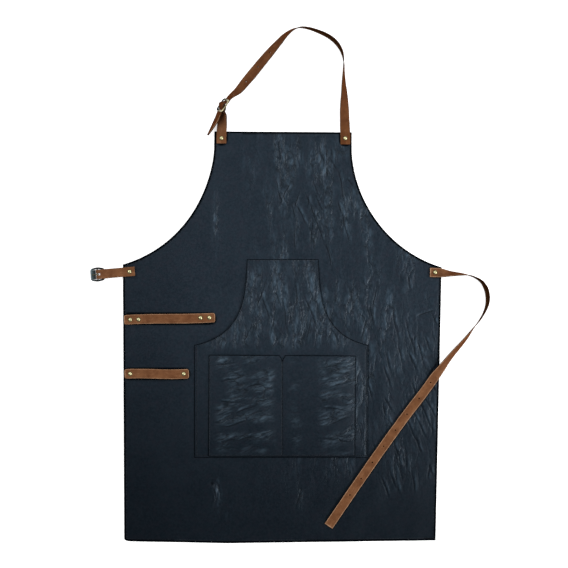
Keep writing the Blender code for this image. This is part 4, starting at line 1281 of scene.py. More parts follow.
def panel_leather(name, pale, turn):
    """Waxed blue-black leather: creased, and paler where it is crumpled with wax pull-up and a painted
    highlight, with painted crease shade, painted light falloff and painted shade lines, black at its cut
    edges.
    """
    m = Material(name)
    plain = m.place((1, 1, 1))
    warped = m.warp(m.place((1, 1, 1), turn), 38.0, 0.016)
    amount = m.value("crumple")
    wide = m.span(m.cells(m.stretch(warped, (1.0, 0.20, 1.0)), 66.0), 0.0, 0.26)
    narrow = m.span(m.cells(m.stretch(warped, (1.0, 0.26, 1.0)), 150.0), 0.0, 0.24)
    streaks = m.noise(m.stretch(warped, (1.0, 0.16, 1.0)), 260.0, 4.0, 0.6)
    broad = m.noise(m.stretch(warped, (1.0, 0.20, 1.0)), 105.0, 3.0, 0.5)
    clouds = m.noise(plain, 11.0, 4.0, 0.6)
    mottle = m.noise(plain, 240.0, 5.0, 0.72)
    grain = m.cells(plain, 900.0)
    shade = m.plus(m.span(clouds, 0.30, 0.70, 0.0, 0.5), m.span(mottle, 0.34, 0.66, -0.25, 0.75))
    colour = m.mix(shade, NAVY_DARK, NAVY_BASE)
    colour = m.mix(m.span(m.noise(plain, 95.0, 4.0, 0.7), 0.45, 0.70, 0.0, 0.5), colour, PLUM)
    # Painted highlight: the pale colour goes onto the pillows and fold ridges in soft streaks, together
    # with wax pull-up.
    glow = m.times(m.span(m.plus(streaks, broad), 0.86, 1.22), m.plus(m.times(wide, 0.5), 0.5))
    colour = m.mix(m.times(glow, m.value("wax_and_highlight")), colour, pale)
    # Painted shade: the crease lines of the net are darkened where the leather is crumpled.
    crease_shade = m.times(m.span(wide, 0.30, 0.0), m.span(amount, 0.1, 0.7))
    colour = m.mix(m.times(crease_shade, 0.70), colour, NAVY_CREASE_SHADE)
    # Painted light falloff: darkens the colour and the specular level towards the hem and the left.
    light_falloff = m.value("light_falloff")
    colour = m.mix(light_falloff, (0.0, 0.0, 0.0), colour)
    # The edge value blackens the cut edge and also paints the shade lines and the fold-valley shade.
    edge = m.value("edge")
    m.set("Base Color", m.mix(edge, colour, NAVY_EDGE_AND_SHADE))
    rough = m.span(mottle, 0.30, 0.70, 0.38, 0.46)
    m.set("Roughness", m.plus(rough, m.times(edge, 0.25)))
    m.set("Specular IOR Level", m.times(m.span(edge, 0.0, 1.0, 0.34, 0.0), light_falloff))
    m.set("Specular Tint", (0.72, 0.86, 1.0, 1.0))
    fine = m.bump(m.span(grain, 0.0, 0.16), 0.08, 0.00012)
    fine = m.bump(mottle, 0.18, 0.0006, fine)
    pillows = m.plus(m.times(m.root(wide), 0.62), m.times(m.root(narrow), 0.16))
    pillows = m.plus(pillows, m.times(streaks, 0.14))
    rumpled = m.times(pillows, m.plus(m.times(amount, 0.95), 0.05))
    m.set("Normal", m.bump(rumpled, 0.9, 0.0019, fine))
    return m.material


def flesh_leather(name, colour):
    """Suede-like back of the leather."""
    m = Material(name)
    plain = m.place((1, 1, 1))
    nap = m.noise(plain, 1500.0, 4.0, 0.7)
    clouds = m.noise(plain, 30.0, 3.0)
    dark = tuple(0.62 * c for c in colour)
    m.set("Base Color", m.mix(m.span(m.plus(nap, clouds), 0.75, 1.25), dark, colour))
    m.set("Roughness", m.span(nap, 0.3, 0.7, 0.78, 0.92))
    m.set("Specular IOR Level", 0.0)
    m.set("Normal", m.bump(nap, 0.5, 0.0003))
    return m.material


def strap_face(name, dark, base, pale):
    """Smooth brown strap leather with a pull-up bloom, fine pores and painted shade on faces that lean
    towards standing on edge.
    """
    m = Material(name)
    stretched = m.place((18, 60, 1), uv="strap")
    plain = m.place((1, 1, 1), uv="strap")
    fibres = m.noise(stretched, 3.2, 5.0, 0.6, 0.4)
    clouds = m.noise(plain, 46.0, 4.0, 0.62)
    pores = m.cells(m.place((1, 1, 1)), 1100.0)
    flecks = m.noise(plain, 420.0, 3.0, 0.7)
    colour = m.mix(m.span(clouds, 0.34, 0.68), dark, base)
    bloom = m.times(m.span(fibres, 0.52, 0.74), m.span(clouds, 0.40, 0.62))
    colour = m.mix(m.times(bloom, 0.55), colour, pale)
    # Painted shade: faces that lean towards standing on edge are mixed towards a darker colour.
    lean = m.span(m.value("lean"), 0.04, 0.45)
    shaded = (dark[0] * 0.62, dark[1] * 0.40, dark[2] * 0.20)
    colour = m.mix(m.times(lean, 0.55), colour, shaded)
    spots = m.span(flecks, 0.30, 0.22)
    m.set("Base Color", m.mix(m.times(spots, 0.5), colour, tuple(0.5 * c for c in dark)))
    m.set("Roughness", m.span(flecks, 0.3, 0.7, 0.42, 0.58))
    m.set("Specular IOR Level", m.span(lean, 0.0, 1.0, 0.04, 0.0))
    m.set("Specular Tint", (1.0, 0.82, 0.66, 1.0))
    fine = m.bump(m.span(pores, 0.0, 0.18), 0.30, 0.00012)
    m.set("Normal", m.bump(flecks, 0.35, 0.00025, fine))
    return m.material


def strap_raw(name, dark, pale):
    """Raw cut edge of vegetable-tanned leather: pale layered fibres."""
    m = Material(name)
    plain = m.place((1, 1, 1))
    fibre = m.noise(m.place((1, 1, 5)), 900.0, 4.0, 0.7)
    patches = m.noise(plain, 120.0, 3.0)
    m.set("Base Color", m.mix(m.span(m.plus(fibre, patches), 0.72, 1.22), dark, pale))
    m.set("Roughness", m.span(fibre, 0.3, 0.7, 0.62, 0.85))
    m.set("Specular IOR Level", 0.0)
    m.set("Normal", m.bump(fibre, 0.6, 0.0003))
    return m.material


def aged_metal(name, dark, bright, wear_low, wear_high, roughness):
    """Antique finish: dark in the hollows, bright on the high places, as rubbed wear on some pieces and
    as a painted highlight on others.
    """
    m = Material(name)
    plain = m.place((1, 1, 1))
    scratches = m.noise(m.place((1, 6, 1), 30), 1400.0, 4.0, 0.7)
    tarnish = m.noise(plain, 380.0, 4.0, 0.6)
    wear_and_highlight = m.plus(m.value("wear_and_highlight"), m.span(tarnish, 0.3, 0.7, -0.18, 0.18))
    m.set("Base Color", m.mix(m.span(wear_and_highlight, wear_low, wear_high), dark, bright))
    m.set("Metallic", m.span(wear_and_highlight, wear_low - 0.02, wear_low + 0.25))
    m.set("Specular IOR Level", 0.0)
    m.set("Roughness", m.span(scratches, 0.3, 0.7, roughness - 0.07, roughness + 0.12))
    m.set("Normal", m.bump(scratches, 0.15, 0.00008))
    return m.material


def thread_material(name, colour):
    m = Material(name)
    twist = m.add(
        "TexWave", {"Vector": m.place((1, 1, 1), 35), "Scale": 900.0, "Distortion": 1.5}
    ).outputs["Fac"]
    m.set("Base Color", m.mix(twist, tuple(0.55 * c for c in colour), colour))
    m.set("Roughness", m.span(twist, 0.0, 1.0, 0.55, 0.75))
    m.set("Normal", m.bump(twist, 0.4, 0.0001))
    return m.material


def floor_material():
    m = Material("floor")
    speckle = m.noise(m.place((1, 1, 1)), 3.0, 2.0)
    m.set("Base Color", m.mix(speckle, (0.86, 0.86, 0.86), (0.88, 0.88, 0.88)))
    m.set("Roughness", 0.9)
    m.set("Specular IOR Level", 0.0)
    m.set("Emission Color", (1.0, 1.0, 1.0, 1.0))
    m.set("Emission Strength", FLOOR_GLOW)
    return m.material


# The second argument is the pale colour of the wax pull-up and painted highlight.
NAVY = panel_leather("navy_leather", (0.050, 0.082, 0.114), 0.0)
NAVY_ACROSS = panel_leather("navy_leather_across", (0.068, 0.104, 0.138), 72.0)
STRAP_FACE = strap_face(
    "strap_face", (0.098, 0.039, 0.017), (0.158, 0.069, 0.031), (0.25, 0.126, 0.068)
)
NECK_FACE = strap_face(
    "neck_strap_face", (0.074, 0.026, 0.010), (0.118, 0.045, 0.017), (0.20, 0.090, 0.042)
)
STRAP_RAW = strap_raw("strap_raw_edge", (0.150, 0.080, 0.045), (0.34, 0.20, 0.120))
# The worn and burnished edges and the flesh are darker leather, darkened further as painted shade.
STRAP_WORN_SHADED_EDGE = strap_raw("strap_worn_shaded_edge", (0.050, 0.019, 0.008), (0.150, 0.072, 0.034))
STRAP_BURNISHED_SHADED_EDGE = strap_raw("strap_burnished_shaded_edge", (0.012, 0.004, 0.0015), (0.055, 0.022, 0.009))
STRAP_SHADED_FLESH = flesh_leather("strap_shaded_flesh", (0.024, 0.008, 0.0022))
CAP_BRASS = aged_metal("cap_brass", (0.080, 0.072, 0.032), (0.60, 0.56, 0.32), 0.20, 0.80, 0.46)
BUCKLE_BRASS = aged_metal(
    "buckle_brass", (0.007, 0.006, 0.005), (0.42, 0.37, 0.22), 0.10, 1.00, 0.36
)
BUCKLE_GREY = aged_metal(
    "buckle_grey", (0.008, 0.008, 0.007), (0.105, 0.140, 0.150), 0.15, 0.85, 0.42
)
THREAD = thread_material("navy_thread", (0.014, 0.020, 0.028))
STRAP_MATERIALS = (STRAP_FACE, STRAP_RAW, STRAP_SHADED_FLESH, STRAP_BURNISHED_SHADED_EDGE)
NECK_MATERIALS = (NECK_FACE, STRAP_WORN_SHADED_EDGE, STRAP_SHADED_FLESH, STRAP_BURNISHED_SHADED_EDGE, STRAP_RAW)


def dress(obj, materials, slot, body, *nodes):
    """Give a piece its materials, its body and the nodes it stands for. Its slot is not used."""
    for material in materials:
        obj.data.materials.append(material)
    if body:
        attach(obj, body)
    if nodes:
        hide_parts(*nodes)
    return obj


# ---------------------------------------------------------------- the sheets

def shade_sheet(obj, surface, points, distance, is_front, edge_band):
    """Tell the material where the leather is crumpled or near its cut edge, where it gets wax pull-up
    with a painted highlight, where painted shade lies, and how strong its painted light falloff is.
    """
    amount = np.where(is_front, surface.amount(points), 0.0)
    set_values(obj, "crumple", amount)
    set_values(obj, "light_falloff", painted_light_falloff(points[:, 0], points[:, 1]))
    edge = smooth(edge_band + 0.0008, edge_band - 0.0006, distance)
    lines = np.where(is_front, surface.painted_shade_lines(points), 0.0)
    lifted = surface.folds(points)
    # Painted shade in the fold valleys; wax pull-up and painted highlight on the ridges and pillows.
    valleys = smooth(-0.15, -0.95, lifted) * 0.6
    ridges = smooth(0.08, 0.50, lifted) * 0.7
    pullup_and_highlight = np.maximum(amount * surface.pillows(points), ridges)
    set_values(obj, "wax_and_highlight", np.where(is_front, pullup_and_highlight, 0.0))
    # The edge value holds the dark cut edge and also the painted shade lines and the fold-valley shade.
    set_values(obj, "edge", np.maximum(edge, np.where(is_front, np.maximum(lines, valleys), 0.0)))


def make_sheet(name, surface, edge_band, **holes):
    """A sheet of leather that tells its material where it is crumpled and where its edges are."""
    obj, points, distance, is_front = leather_sheet(name, surface, **holes)
    shade_sheet(obj, surface, points, distance, is_front, edge_band)
    return obj


def sew(name, surface, slot, rows, from_edge=1.0):
    """Thread that lies on a sheet, with rows of stitches."""
    def height(points):
        return surface.front(points, np.full(len(points), from_edge))

    dress(stitches(name, rows, height), (THREAD,), slot, "apron")


def make_panel(pressed, rows, rivets):
    surface = Panel(pressed, rows)
    obj = make_sheet(
        "apron_leather", surface, EDGE_BAND, dimples=rivets, open_dimple=RIVET_FOOT_REACH
    )
    dress(obj, (NAVY,), "panel_leather", "apron", "apron_panel")
    seam = inset(surface.outline, PANEL_SEAM_INSET)
    seam = np.concatenate((seam, seam[:1]))
    sew("apron_edge_stitches", surface, "panel_leather", [seam], PANEL_SEAM_INSET)


def painted_light_falloff(x, y):
    """Painted light falloff: how bright the leather is painted, darker towards the hem and towards the
    left.
    """
    down = smooth(-0.43, 0.10, y)
    left = smooth(-0.34, -0.12, x)
    return 0.40 + 0.34 * down + 0.26 * left * (0.3 + 0.7 * down)


def make_big_pocket():
    surface = BigPocket()
    obj = make_sheet("kangaroo_pocket_leather", surface, POCKET_EDGE_BAND)
    dress(obj, (NAVY,), "pocket_leather", "apron", "kangaroo_pocket")
    c = BIG_POCKET_CORNERS
    top = c["top_left"][1] - MOUTH_INSET
    rows = [surface.seams[0]]
    rows.append(np.array([(c["top_left"][0] + 0.004, top), (c["top_right"][0] - 0.004, top)]))
    closed_inset = inset(surface.outline, MOUTH_INSET)
    names = list(surface.sides)
    for name in ("left_mouth", "right_mouth"):
        start = sum(len(surface.sides[side]) for side in names[:names.index(name)])
        rows.append(closed_inset[start + 2:start + len(surface.sides[name]) - 1])
    for x in (c["mouth_left"][0] + 0.0024, c["mouth_right"][0] - 0.0024):
        rows.append(bar_tack((x, c["mouth_left"][1] - 0.0070), 0.0095, 0.0018))
    sew("kangaroo_pocket_stitches", surface, "pocket_leather", rows)
    return surface


def make_pair_pocket(under):
    surface = PairPocket(under)
    obj = make_sheet("pair_pocket_leather", surface, POCKET_EDGE_BAND)
    dress(obj, (NAVY_ACROSS,), "pocket_leather", "apron", "pair_pocket")
    left, right = PAIR_POCKET_LEFT + MOUTH_INSET, PAIR_POCKET_RIGHT - MOUTH_INSET
    low, top = PAIR_POCKET_BOTTOM + MOUTH_INSET, PAIR_POCKET_TOP - 0.003
    hem = np.array([(left, top), (left, low), (right, low), (right, top)])
    tip = PAIR_POCKET_TOP - NOTCH_DEPTH - 0.003
    rows = [dense(hem, False, 0.002)]
    rows += [np.array([(DIVIDER_X - 0.0013, tip), (DIVIDER_X - 0.0013, low)])]
    rows.append(bar_tack((DIVIDER_X, tip - 0.003), 0.007, 0.0026))
    sew("pair_pocket_stitches", surface, "pocket_leather", rows)


# ---------------------------------------------------------------- the straps

NECK_BUCKLE = buckle_frame_matrix(NECK_BUCKLE_CENTRE, NECK_BUCKLE_HEADING, NECK_BUCKLE_LEAN)
WAIST_BUCKLE = buckle_frame_matrix(WAIST_BUCKLE_CENTRE, WAIST_BUCKLE_HEADING, 0.0)
TOOL_RIVET_INSETS = {"upper_tool_strap": (0.0385, 0.0385), "lower_tool_strap": (0.0205, 0.0185)}


def make_tool_strap(name):
    """Tool strap along its CAD solid's box, arched off the panel between its rivets."""
    first_inset, last_inset = TOOL_RIVET_INSETS[name]
    low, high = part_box(name)
    lying = low.z + STRAP_THICKNESS / 2
    rise = high.z - low.z - STRAP_THICKNESS
    first_y, last_y = low.y + TOOL_STRAP_WIDTH / 2, high.y - TOOL_STRAP_WIDTH / 2
    first, last = low.x + first_inset, high.x - last_inset
    crown = rise * 0.42
    profile = [(low.x, 0.0), (first, 0.0), (first + 0.022, crown * 0.75)]
    profile += [((first + last) / 2, crown), (last - 0.022, crown * 0.75), (last, 0.0)]
    profile.append((high.x, 0.0))
    stations = []
    for x, up in profile:
        share = (x - low.x) / (high.x - low.x)
        wave = 0.0007 * sin(share * 2 * pi)
        y = first_y + (last_y - first_y) * share + wave
        stations.append((Vector((x, y, lying + up)), Vector((0, 1, 0))))
    route = SmoothRoute(stations)
    obj = sweep_strap(
        name + "_leather", rounded_frames(route), TOOL_STRAP_WIDTH, STRAP_THICKNESS, 1, 21,
        margin=0.0014, rounded=True,
    )
    dress(obj, STRAP_MATERIALS, "strap_leather", "apron", name)


def make_neck_strap():
    """Long neck strap from its riveted end, round the neck and through the buckle to its tail."""
    tab_low, tab_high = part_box("neck_strap_tab")
    middle = (tab_low.x + tab_high.x) / 2
    height = PANEL_THICKNESS + TOUCH_GAP + STRAP_THICKNESS / 2
    tab = [(Vector((middle, y, height)), Vector((-1, 0, 0))) for y in (tab_low.y, tab_high.y - 0.008)]
    stations = tab + lying_stations(NECK_STRAP_ROUTE, NECK_STRAP_WIDTH, STRAP_THICKNESS, 1)
    start, end, count = STRAP_IN_BUCKLE
    points = [(float(u), strap_height_in_buckle(float(u))) for u in np.linspace(start, end, count)]
    stations += stations_in_buckle(NECK_BUCKLE, points)
    stations += lying_stations(NECK_TAIL_ROUTE, NECK_STRAP_WIDTH, STRAP_THICKNESS, 1)
    route = SmoothRoute(stations)
    obj = sweep_strap(
        "neck_strap_leather", route.frames(), NECK_STRAP_WIDTH, STRAP_THICKNESS, 1, 22,
        margin=0.0013, tail=0.052,
    )
    dress(obj, NECK_MATERIALS, "strap_leather", None)
    punch_row(obj, route, 1, *NECK_PUNCHES)
    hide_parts("neck_strap", "neck_strap_tab")
    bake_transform(obj)


def doubled_frames(route, buckle):
    """Frames of one strap that runs to a buckle's bar, round it and back underneath."""
    half = (DOUBLED_THICKNESS - LAYER_THICKNESS) / 2
    end = route.length - WRAP_GAP
    distances = np.linspace(0.0, end, int(end / STRAP_STEP))
    over, under = [], []
    side = buckle.to_3x3() @ Vector((0, -1, 0))
    for d in distances:
        centre, across, outward = route.frame(d)
        offset = half + (WRAP_RADIUS - half) * float(smooth(end - WRAP_REACH, end, d))
        over.append((centre - outward * offset, across, outward))
        under.append((centre + outward * offset, across, -outward))
    last, _, outward = route.frame(end)
    up = -outward
    ahead = up.cross(side).normalized()
    if ahead.dot(last - route.frame(end - 0.003)[0]) < 0:
        ahead = -ahead
    centre = buckle.translation
    wrap = []
    for angle in np.linspace(0.0, pi, 15):
        radial = up * cos(angle) + ahead * sin(angle)
        wrap.append((centre + radial * WRAP_RADIUS, side, -radial))
    return over + wrap + under[::-1]


def make_doubled_strap(name, stations, buckle, width, body, nodes, seed):
    """Strap folded round a buckle's bar, with the slot that its tongue stands in."""
    route = SmoothRoute(stations)
    frames = doubled_frames(route, buckle)
    obj = sweep_strap(name, frames, width, LAYER_THICKNESS, -1, seed)
    dress(obj, STRAP_MATERIALS, "strap_leather", body)
    shape = bmesh.new()
    box_mesh(shape, buckle, *TONGUE_SLOT)
    cut_out(obj, shape)
    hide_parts(*nodes)
    return obj


def make_neck_short_strap():
    tab_low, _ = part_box("neck_short_strap_tab")
    height = PANEL_THICKNESS + TOUCH_GAP + DOUBLED_THICKNESS / 2
    side = Vector((1, 0, 0))
    x = NECK_SHORT_ROUTE[0][0]
    stations = [(Vector((x - 0.0005, y, height)), side) for y in (tab_low.y, 0.4315)]
    stations += lying_stations(NECK_SHORT_ROUTE, NECK_STRAP_WIDTH, DOUBLED_THICKNESS, -1)
    stations += stations_in_buckle(NECK_BUCKLE, NECK_FOLD_ROUTE)
    obj = make_doubled_strap(
        "neck_short_strap_leather", stations, NECK_BUCKLE, NECK_STRAP_WIDTH, None,
        ("neck_short_strap", "neck_short_strap_tab"), 23,
    )
    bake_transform(obj)


def make_waist_short_strap():
    level = PANEL_THICKNESS + TOUCH_GAP + DOUBLED_THICKNESS / 2 - WAIST_BUCKLE_CENTRE[2]
    points = [(u, level) for u in WAIST_SHORT_LYING]
    points += [(WAIST_SHORT_LIFT[0], level + WAIST_SHORT_LIFT[1]), *WAIST_FOLD_ROUTE]
    make_doubled_strap(
        "waist_short_strap_leather", stations_in_buckle(WAIST_BUCKLE, points), WAIST_BUCKLE,
        WAIST_STRAP_WIDTH, "waist_short", ("waist_short_strap",), 24,
    )


def make_waist_long_strap():
    stations = lying_stations(WAIST_LONG_ROUTE, WAIST_STRAP_WIDTH, STRAP_THICKNESS, -1)
    route = SmoothRoute(stations)
    obj = sweep_strap(
        "waist_long_strap_leather", route.frames(), WAIST_STRAP_WIDTH, STRAP_THICKNESS, -1, 25,
        margin=0.0017,
    )
    dress(obj, STRAP_MATERIALS, "strap_leather", "waist_long")
    punch_row(obj, route, -1, *WAIST_PUNCHES)
    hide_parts("waist_long_strap")
    return route


# ---------------------------------------------------------------- metal

def tube(name, points, radius, closed, place, sides=16):
    """Round bar along a smooth route of points."""
    curve = bpy.data.curves.new(name, "CURVE")
    curve.dimensions = "3D"
    curve.bevel_depth = radius
    curve.bevel_resolution = sides // 4 - 1
    curve.use_fill_caps = not closed
    spline = curve.splines.new("POLY")
    spline.use_cyclic_u = closed
    spline.points.add(len(points) - 1)
    for knot, point in zip(spline.points, points):
        knot.co = (*point, 1.0)
    guide = add_object(name + "_route", curve)
    bpy.context.view_layer.update()
    evaluated = guide.evaluated_get(bpy.context.evaluated_depsgraph_get())
    shape = bmesh.new()
    shape.from_mesh(bpy.data.meshes.new_from_object(evaluated))
    bpy.data.objects.remove(guide, do_unlink=True)
    bmesh.ops.remove_doubles(shape, verts=shape.verts, dist=1e-6)
    shape.transform(place)
    return finish_shape(name, shape)


def frame_ring(end_half_width):
    """Closed route of a buckle frame: rounded corners, and rails that bow out at the middle."""
    points = []
    radius = FRAME_CORNER_RADIUS
    wider = RAIL_RADIUS - ROD_RADIUS
    end_half_width += wider
    for x_sign, y_sign in ((1, 1), (-1, 1), (-1, -1), (1, -1)):
        turn = range(0, 10) if x_sign * y_sign > 0 else range(9, -1, -1)
        for step in turn:
            angle = step * pi / 18
            x = FRAME_HALF_LENGTH + wider - radius + radius * cos(angle)
            y = end_half_width - radius + radius * sin(angle)
            points.append((x_sign * x, y_sign * y, 0.0))
        if x_sign * y_sign > 0:
            run = FRAME_HALF_LENGTH + wider - radius
            for step in range(1, 12):
                x = run * (1 - step / 6) * x_sign
                bow = (FRAME_HALF_WIDTH + wider - end_half_width) * cos(pi * x / run / 2)
                points.append((x, y_sign * (end_half_width + bow), 0.0))
    return points


def finish_metal(obj, buckle, rub_and_highlight, metal, body, node):
    """Brighten a metal piece on its front, as rubbed wear on some pieces and as a painted highlight on
    the neck buckle; rub_and_highlight says how much for places in its own frame.
    """
    mesh = obj.data
    mesh.shade_smooth()
    mesh.set_sharp_from_angle(angle=radians(50))
    turn = np.array(buckle.to_3x3())
    normals = np.array([tuple(v.normal) for v in mesh.vertices]) @ turn
    places = (np.array([tuple(v.co) for v in mesh.vertices]) - np.array(buckle.translation)) @ turn
    set_values(obj, "wear_and_highlight", smooth(0.1, 0.9, normals[:, 2]) * rub_and_highlight(places[:, 0], places[:, 1]))
    dress(obj, (metal,), "buckle_metal", body, node)


def make_buckle_frame(name, node, buckle, end_half_width, plate, body, rub_and_highlight, metal, rail):
    flatten = Matrix.Diagonal((1.0, 1.0, ROD_RADIUS / rail, 1.0))
    frame_piece = tube(name, frame_ring(end_half_width), rail, True, buckle @ flatten)
    shape = bmesh.new()
    turn = buckle @ Matrix.Rotation(radians(90), 4, "X")
    cylinder_mesh(shape, turn, BAR_RADIUS, 2 * FRAME_HALF_WIDTH, 20)
    combine(frame_piece, shape, "UNION")
    for side in (-1, 1):
        shape = bmesh.new()
        place = buckle @ Matrix.Translation((0, side * FRAME_HALF_WIDTH, 0))
        bmesh.ops.create_uvsphere(
            shape, u_segments=20, v_segments=12, radius=ROD_RADIUS * 1.35, matrix=place
        )
        combine(frame_piece, shape, "UNION")
    if plate:
        length, width, thickness = plate
        end = FRAME_HALF_LENGTH + ROD_RADIUS * 0.6
        shape = bmesh.new()
        low = (end - length, -width / 2, -thickness / 2)
        box_mesh(shape, buckle, low, (end, width / 2, thickness / 2))
        bmesh.ops.bevel(
            shape, geom=list(shape.edges), offset=0.0009, segments=4, profile=0.6, affect="EDGES"
        )
        combine(frame_piece, shape, "UNION")
    finish_metal(frame_piece, buckle, rub_and_highlight, metal, body, node)


NECK_TONGUE_ROUTE = [(0.0010, 0.0018), (0.0060, 0.0022), (0.0142, 0.0025)]
WAIST_TONGUE_ROUTE = [(0.0010, 0.0018), (0.0045, 0.0026), (0.0125, 0.0026)]


def make_tongue(name, node, buckle, route, body):
    """Tongue with a ring round the bar, swept as a round rod to its tip."""
    count = 24
    reads = np.linspace(0, len(route) - 1, count)
    us = np.interp(reads, range(len(route)), [p[0] for p in route])
    heights = np.interp(reads, range(len(route)), [p[1] for p in route])
    tongue = tube(name, [(u, 0.0, h) for u, h in zip(us, heights)], TONGUE_RADIUS, False, buckle, 12)
    turn = buckle @ Matrix.Rotation(radians(90), 4, "X")
    shape = bmesh.new()
    cylinder_mesh(shape, turn, TONGUE_RING_RADIUS, TONGUE_RING_LENGTH, 28)
    bmesh.ops.bevel(
        shape, geom=[e for e in shape.edges if len(e.link_faces) == 2 and e.calc_face_angle() > 1],
        offset=0.0004, segments=2, affect="EDGES",
    )
    combine(tongue, shape, "UNION")
    shape = bmesh.new()
    cylinder_mesh(shape, turn, TONGUE_BORE_RADIUS, 0.01, 28)
    combine(tongue, shape, "DIFFERENCE")
    finish_metal(tongue, buckle, lambda x, y: np.full_like(x, 0.55), BUCKLE_BRASS, body, node)


def turned(name, profile, place):
    """Turn a profile of (radius, height) about Z."""
    shape = bmesh.new()
    rings = []
    for radius, height in profile:
        if radius == 0.0:
            rings.append([shape.verts.new((0.0, 0.0, height))])
            continue
        angles = [2 * pi * k / TURNED_STEPS for k in range(TURNED_STEPS)]
        rings.append([shape.verts.new((radius * cos(a), radius * sin(a), height)) for a in angles])
    for first, second in zip(rings, rings[1:]):
        for k in range(TURNED_STEPS):
            after = (k + 1) % TURNED_STEPS
            if len(first) == 1:
                shape.faces.new((first[0], second[k], second[after]))
            elif len(second) == 1:
                shape.faces.new((first[k], second[0], first[after]))
            else:
                shape.faces.new((first[k], second[k], second[after], first[after]))
    shape.transform(place)
    return finish_shape(name, shape)


def finish_rivet(name, profile, x, y, z, wear_and_highlight, node):
    """Turn a part of a rivet; wear_and_highlight says how bright it is for distances from its middle."""
    obj = turned(name, profile, Matrix.Translation((x, y, z)))
    reach = np.array([(v.co.x - x, v.co.y - y) for v in obj.data.vertices])
    set_values(obj, "wear_and_highlight", wear_and_highlight(np.hypot(reach[:, 0], reach[:, 1])))
    dress(obj, (CAP_BRASS,), "rivet_brass", "apron", node)


def make_rivet(rivet):
    """Domed cap with a rolled rim, and the post whose foot lies in the panel's back."""
    low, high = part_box(rivet + "_cap")
    x, y = (low.x + high.x) / 2, (low.y + high.y) / 2
    radius, height = (high.x - low.x) / 2, high.z - low.z
    shares = [step / 12 for step in range(1, 13)]
    profile = [(0.0, height)]
    profile += [(radius * 0.86 * k, height - (height - 0.00050) * k**2.3) for k in shares]
    profile += [
        (radius * 0.895, 0.00042), (radius * 0.935, 0.00048), (radius * 0.975, 0.00040),
        (radius, 0.00022), (radius * 0.985, 0.00004), (radius * 0.94, 0.0), (0.0018, 0.0),
        (0.0018, 0.0011), (0.0, 0.0011),
    ]
    finish_rivet(
        rivet + "_dome", profile, x, y, low.z,
        # Bright middle of the dome: rubbed wear with a painted highlight; the dark rim is patina.
        lambda reach: 1.0 - 0.85 * smooth(0.50, 0.88, reach / radius), rivet + "_cap",
    )

    low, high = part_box(rivet + "_post")
    foot, tall = (high.x - low.x) / 2, high.z - low.z
    profile = [
        (0.0, tall), (0.0015, tall), (0.0015, 0.0006), (foot * 0.96, 0.0006), (foot, 0.00045),
        (foot, 0.00015), (foot * 0.93, 0.0), (foot * 0.45, 0.0), (foot * 0.38, 0.00018), (0.0, 0.00022),
    ]
    finish_rivet(
        rivet + "_foot", profile, x, y, low.z,
        lambda reach: smooth(0.1, 0.9, reach / foot), rivet + "_post",
    )
    return x, y


# ---------------------------------------------------------------- stage

LIGHTS_AIM = (0.0, 0.05, 0.0)
LIGHTS = (
    ("key", (2.40, -0.80, 1.75), (1.4, 2.0), 112.0),
    ("fill", (-2.30, 1.00, 1.90), (1.4, 2.0), 62.0),
    ("top", (0.40, 2.60, 2.00), (2.2, 1.2), 40.0),
)
WORLD_GLOW = 0.15
FLOOR_DROP = 0.0002


def area_light(name, place, size, power):
    light = bpy.data.lights.new(name, "AREA")
    light.shape = "RECTANGLE"
    light.size, light.size_y = size
    light.energy = power
    obj = add_object(name, light)
    obj.location = place
    obj.rotation_euler = (Vector(LIGHTS_AIM) - Vector(place)).to_track_quat("-Z", "Y").to_euler()
    obj.visible_camera = False


def make_stage():
    scene = bpy.context.scene
    shape = bmesh.new()
    bmesh.ops.create_grid(shape, x_segments=2, y_segments=2, size=7.0)
    floor = finish_shape("floor", shape)
    floor.location = (0.0, 0.0, -FLOOR_DROP)
    floor.data.materials.append(floor_material())

    world = bpy.data.worlds.new("studio")
    world.use_nodes = True
    background = world.node_tree.nodes["Background"]
    background.inputs["Color"].default_value = (1.0, 1.0, 1.0, 1.0)
    background.inputs["Strength"].default_value = WORLD_GLOW
    scene.world = world
    for light in LIGHTS:
        area_light(*light)

    camera = bpy.data.cameras.new("camera")
    camera.lens = LENS
    camera.clip_end = 30.0
    eye = add_object("camera", camera)
    eye.location = (CAMERA_X, CAMERA_Y, CAMERA_HEIGHT)
    scene.camera = eye
    scene.view_settings.view_transform = "Standard"
    scene.view_settings.look = "None"


# ---------------------------------------------------------------- assembly

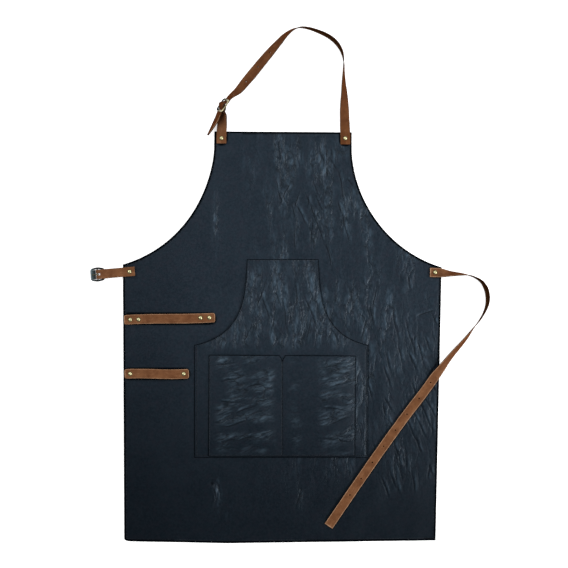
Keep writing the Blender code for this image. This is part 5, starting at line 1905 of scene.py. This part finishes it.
def strap_rows(long_route):
    """Middle lines of the straps that press on the panel, the long waist strap's first."""
    reads = np.arange(STRAP_END_CLEAR, long_route.length - STRAP_END_CLEAR, 0.002)
    rows = [np.array([long_route.frame(d)[0][:2] for d in reads])]
    for name in ("upper_tool_strap", "lower_tool_strap", "neck_strap_tab", "neck_short_strap_tab"):
        low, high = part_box(name)
        ends = np.array([(low.x, low.y), (high.x, high.y)])
        if high.x - low.x > high.y - low.y:
            ends[:, 1] = (low.y + high.y) / 2
            ends += np.array([(STRAP_END_CLEAR, 0.0), (-STRAP_END_CLEAR, 0.0)])
        else:
            ends[:, 0] = (low.x + high.x) / 2
            ends[0, 1] += STRAP_END_CLEAR
        rows.append(ends)
    return rows


def make_apron():
    long_route = make_waist_long_strap()
    make_neck_strap()
    make_neck_short_strap()
    make_waist_short_strap()
    for name in ("upper_tool_strap", "lower_tool_strap"):
        make_tool_strap(name)

    make_buckle_frame(
        "neck_buckle", "neck_buckle_frame", NECK_BUCKLE, FRAME_HALF_WIDTH, None, "neck_loop",
        # Painted highlight: only the rail on the high, lit side is made bright.
        lambda x, y: 1.1 * smooth(-0.006, -0.012, y), BUCKLE_BRASS, NECK_RAIL_RADIUS,
    )
    make_buckle_frame(
        "waist_buckle", "waist_buckle_frame", WAIST_BUCKLE, WAIST_END_HALF_WIDTH, END_PLATE,
        "waist_frame", lambda x, y: 0.22 + 0.60 * smooth(0.006, 0.0095, x), BUCKLE_GREY,
        RAIL_RADIUS,
    )
    make_tongue(
        "neck_tongue", "neck_buckle_tongue", NECK_BUCKLE, NECK_TONGUE_ROUTE, "neck_tongue",
    )
    make_tongue(
        "waist_tongue", "waist_buckle_tongue", WAIST_BUCKLE, WAIST_TONGUE_ROUTE, "waist_tongue",
    )

    caps = sorted(name[:-4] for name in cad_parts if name.endswith("_cap"))
    rivets = np.array([make_rivet(name) for name in caps])

    rows = strap_rows(long_route)
    held = np.concatenate([dense(row, False, 0.005) for row in rows])
    pressed = np.concatenate((held, rivets))
    make_panel(pressed, rows, rivets)
    make_pair_pocket(make_big_pocket())


make_apron()
make_stage()
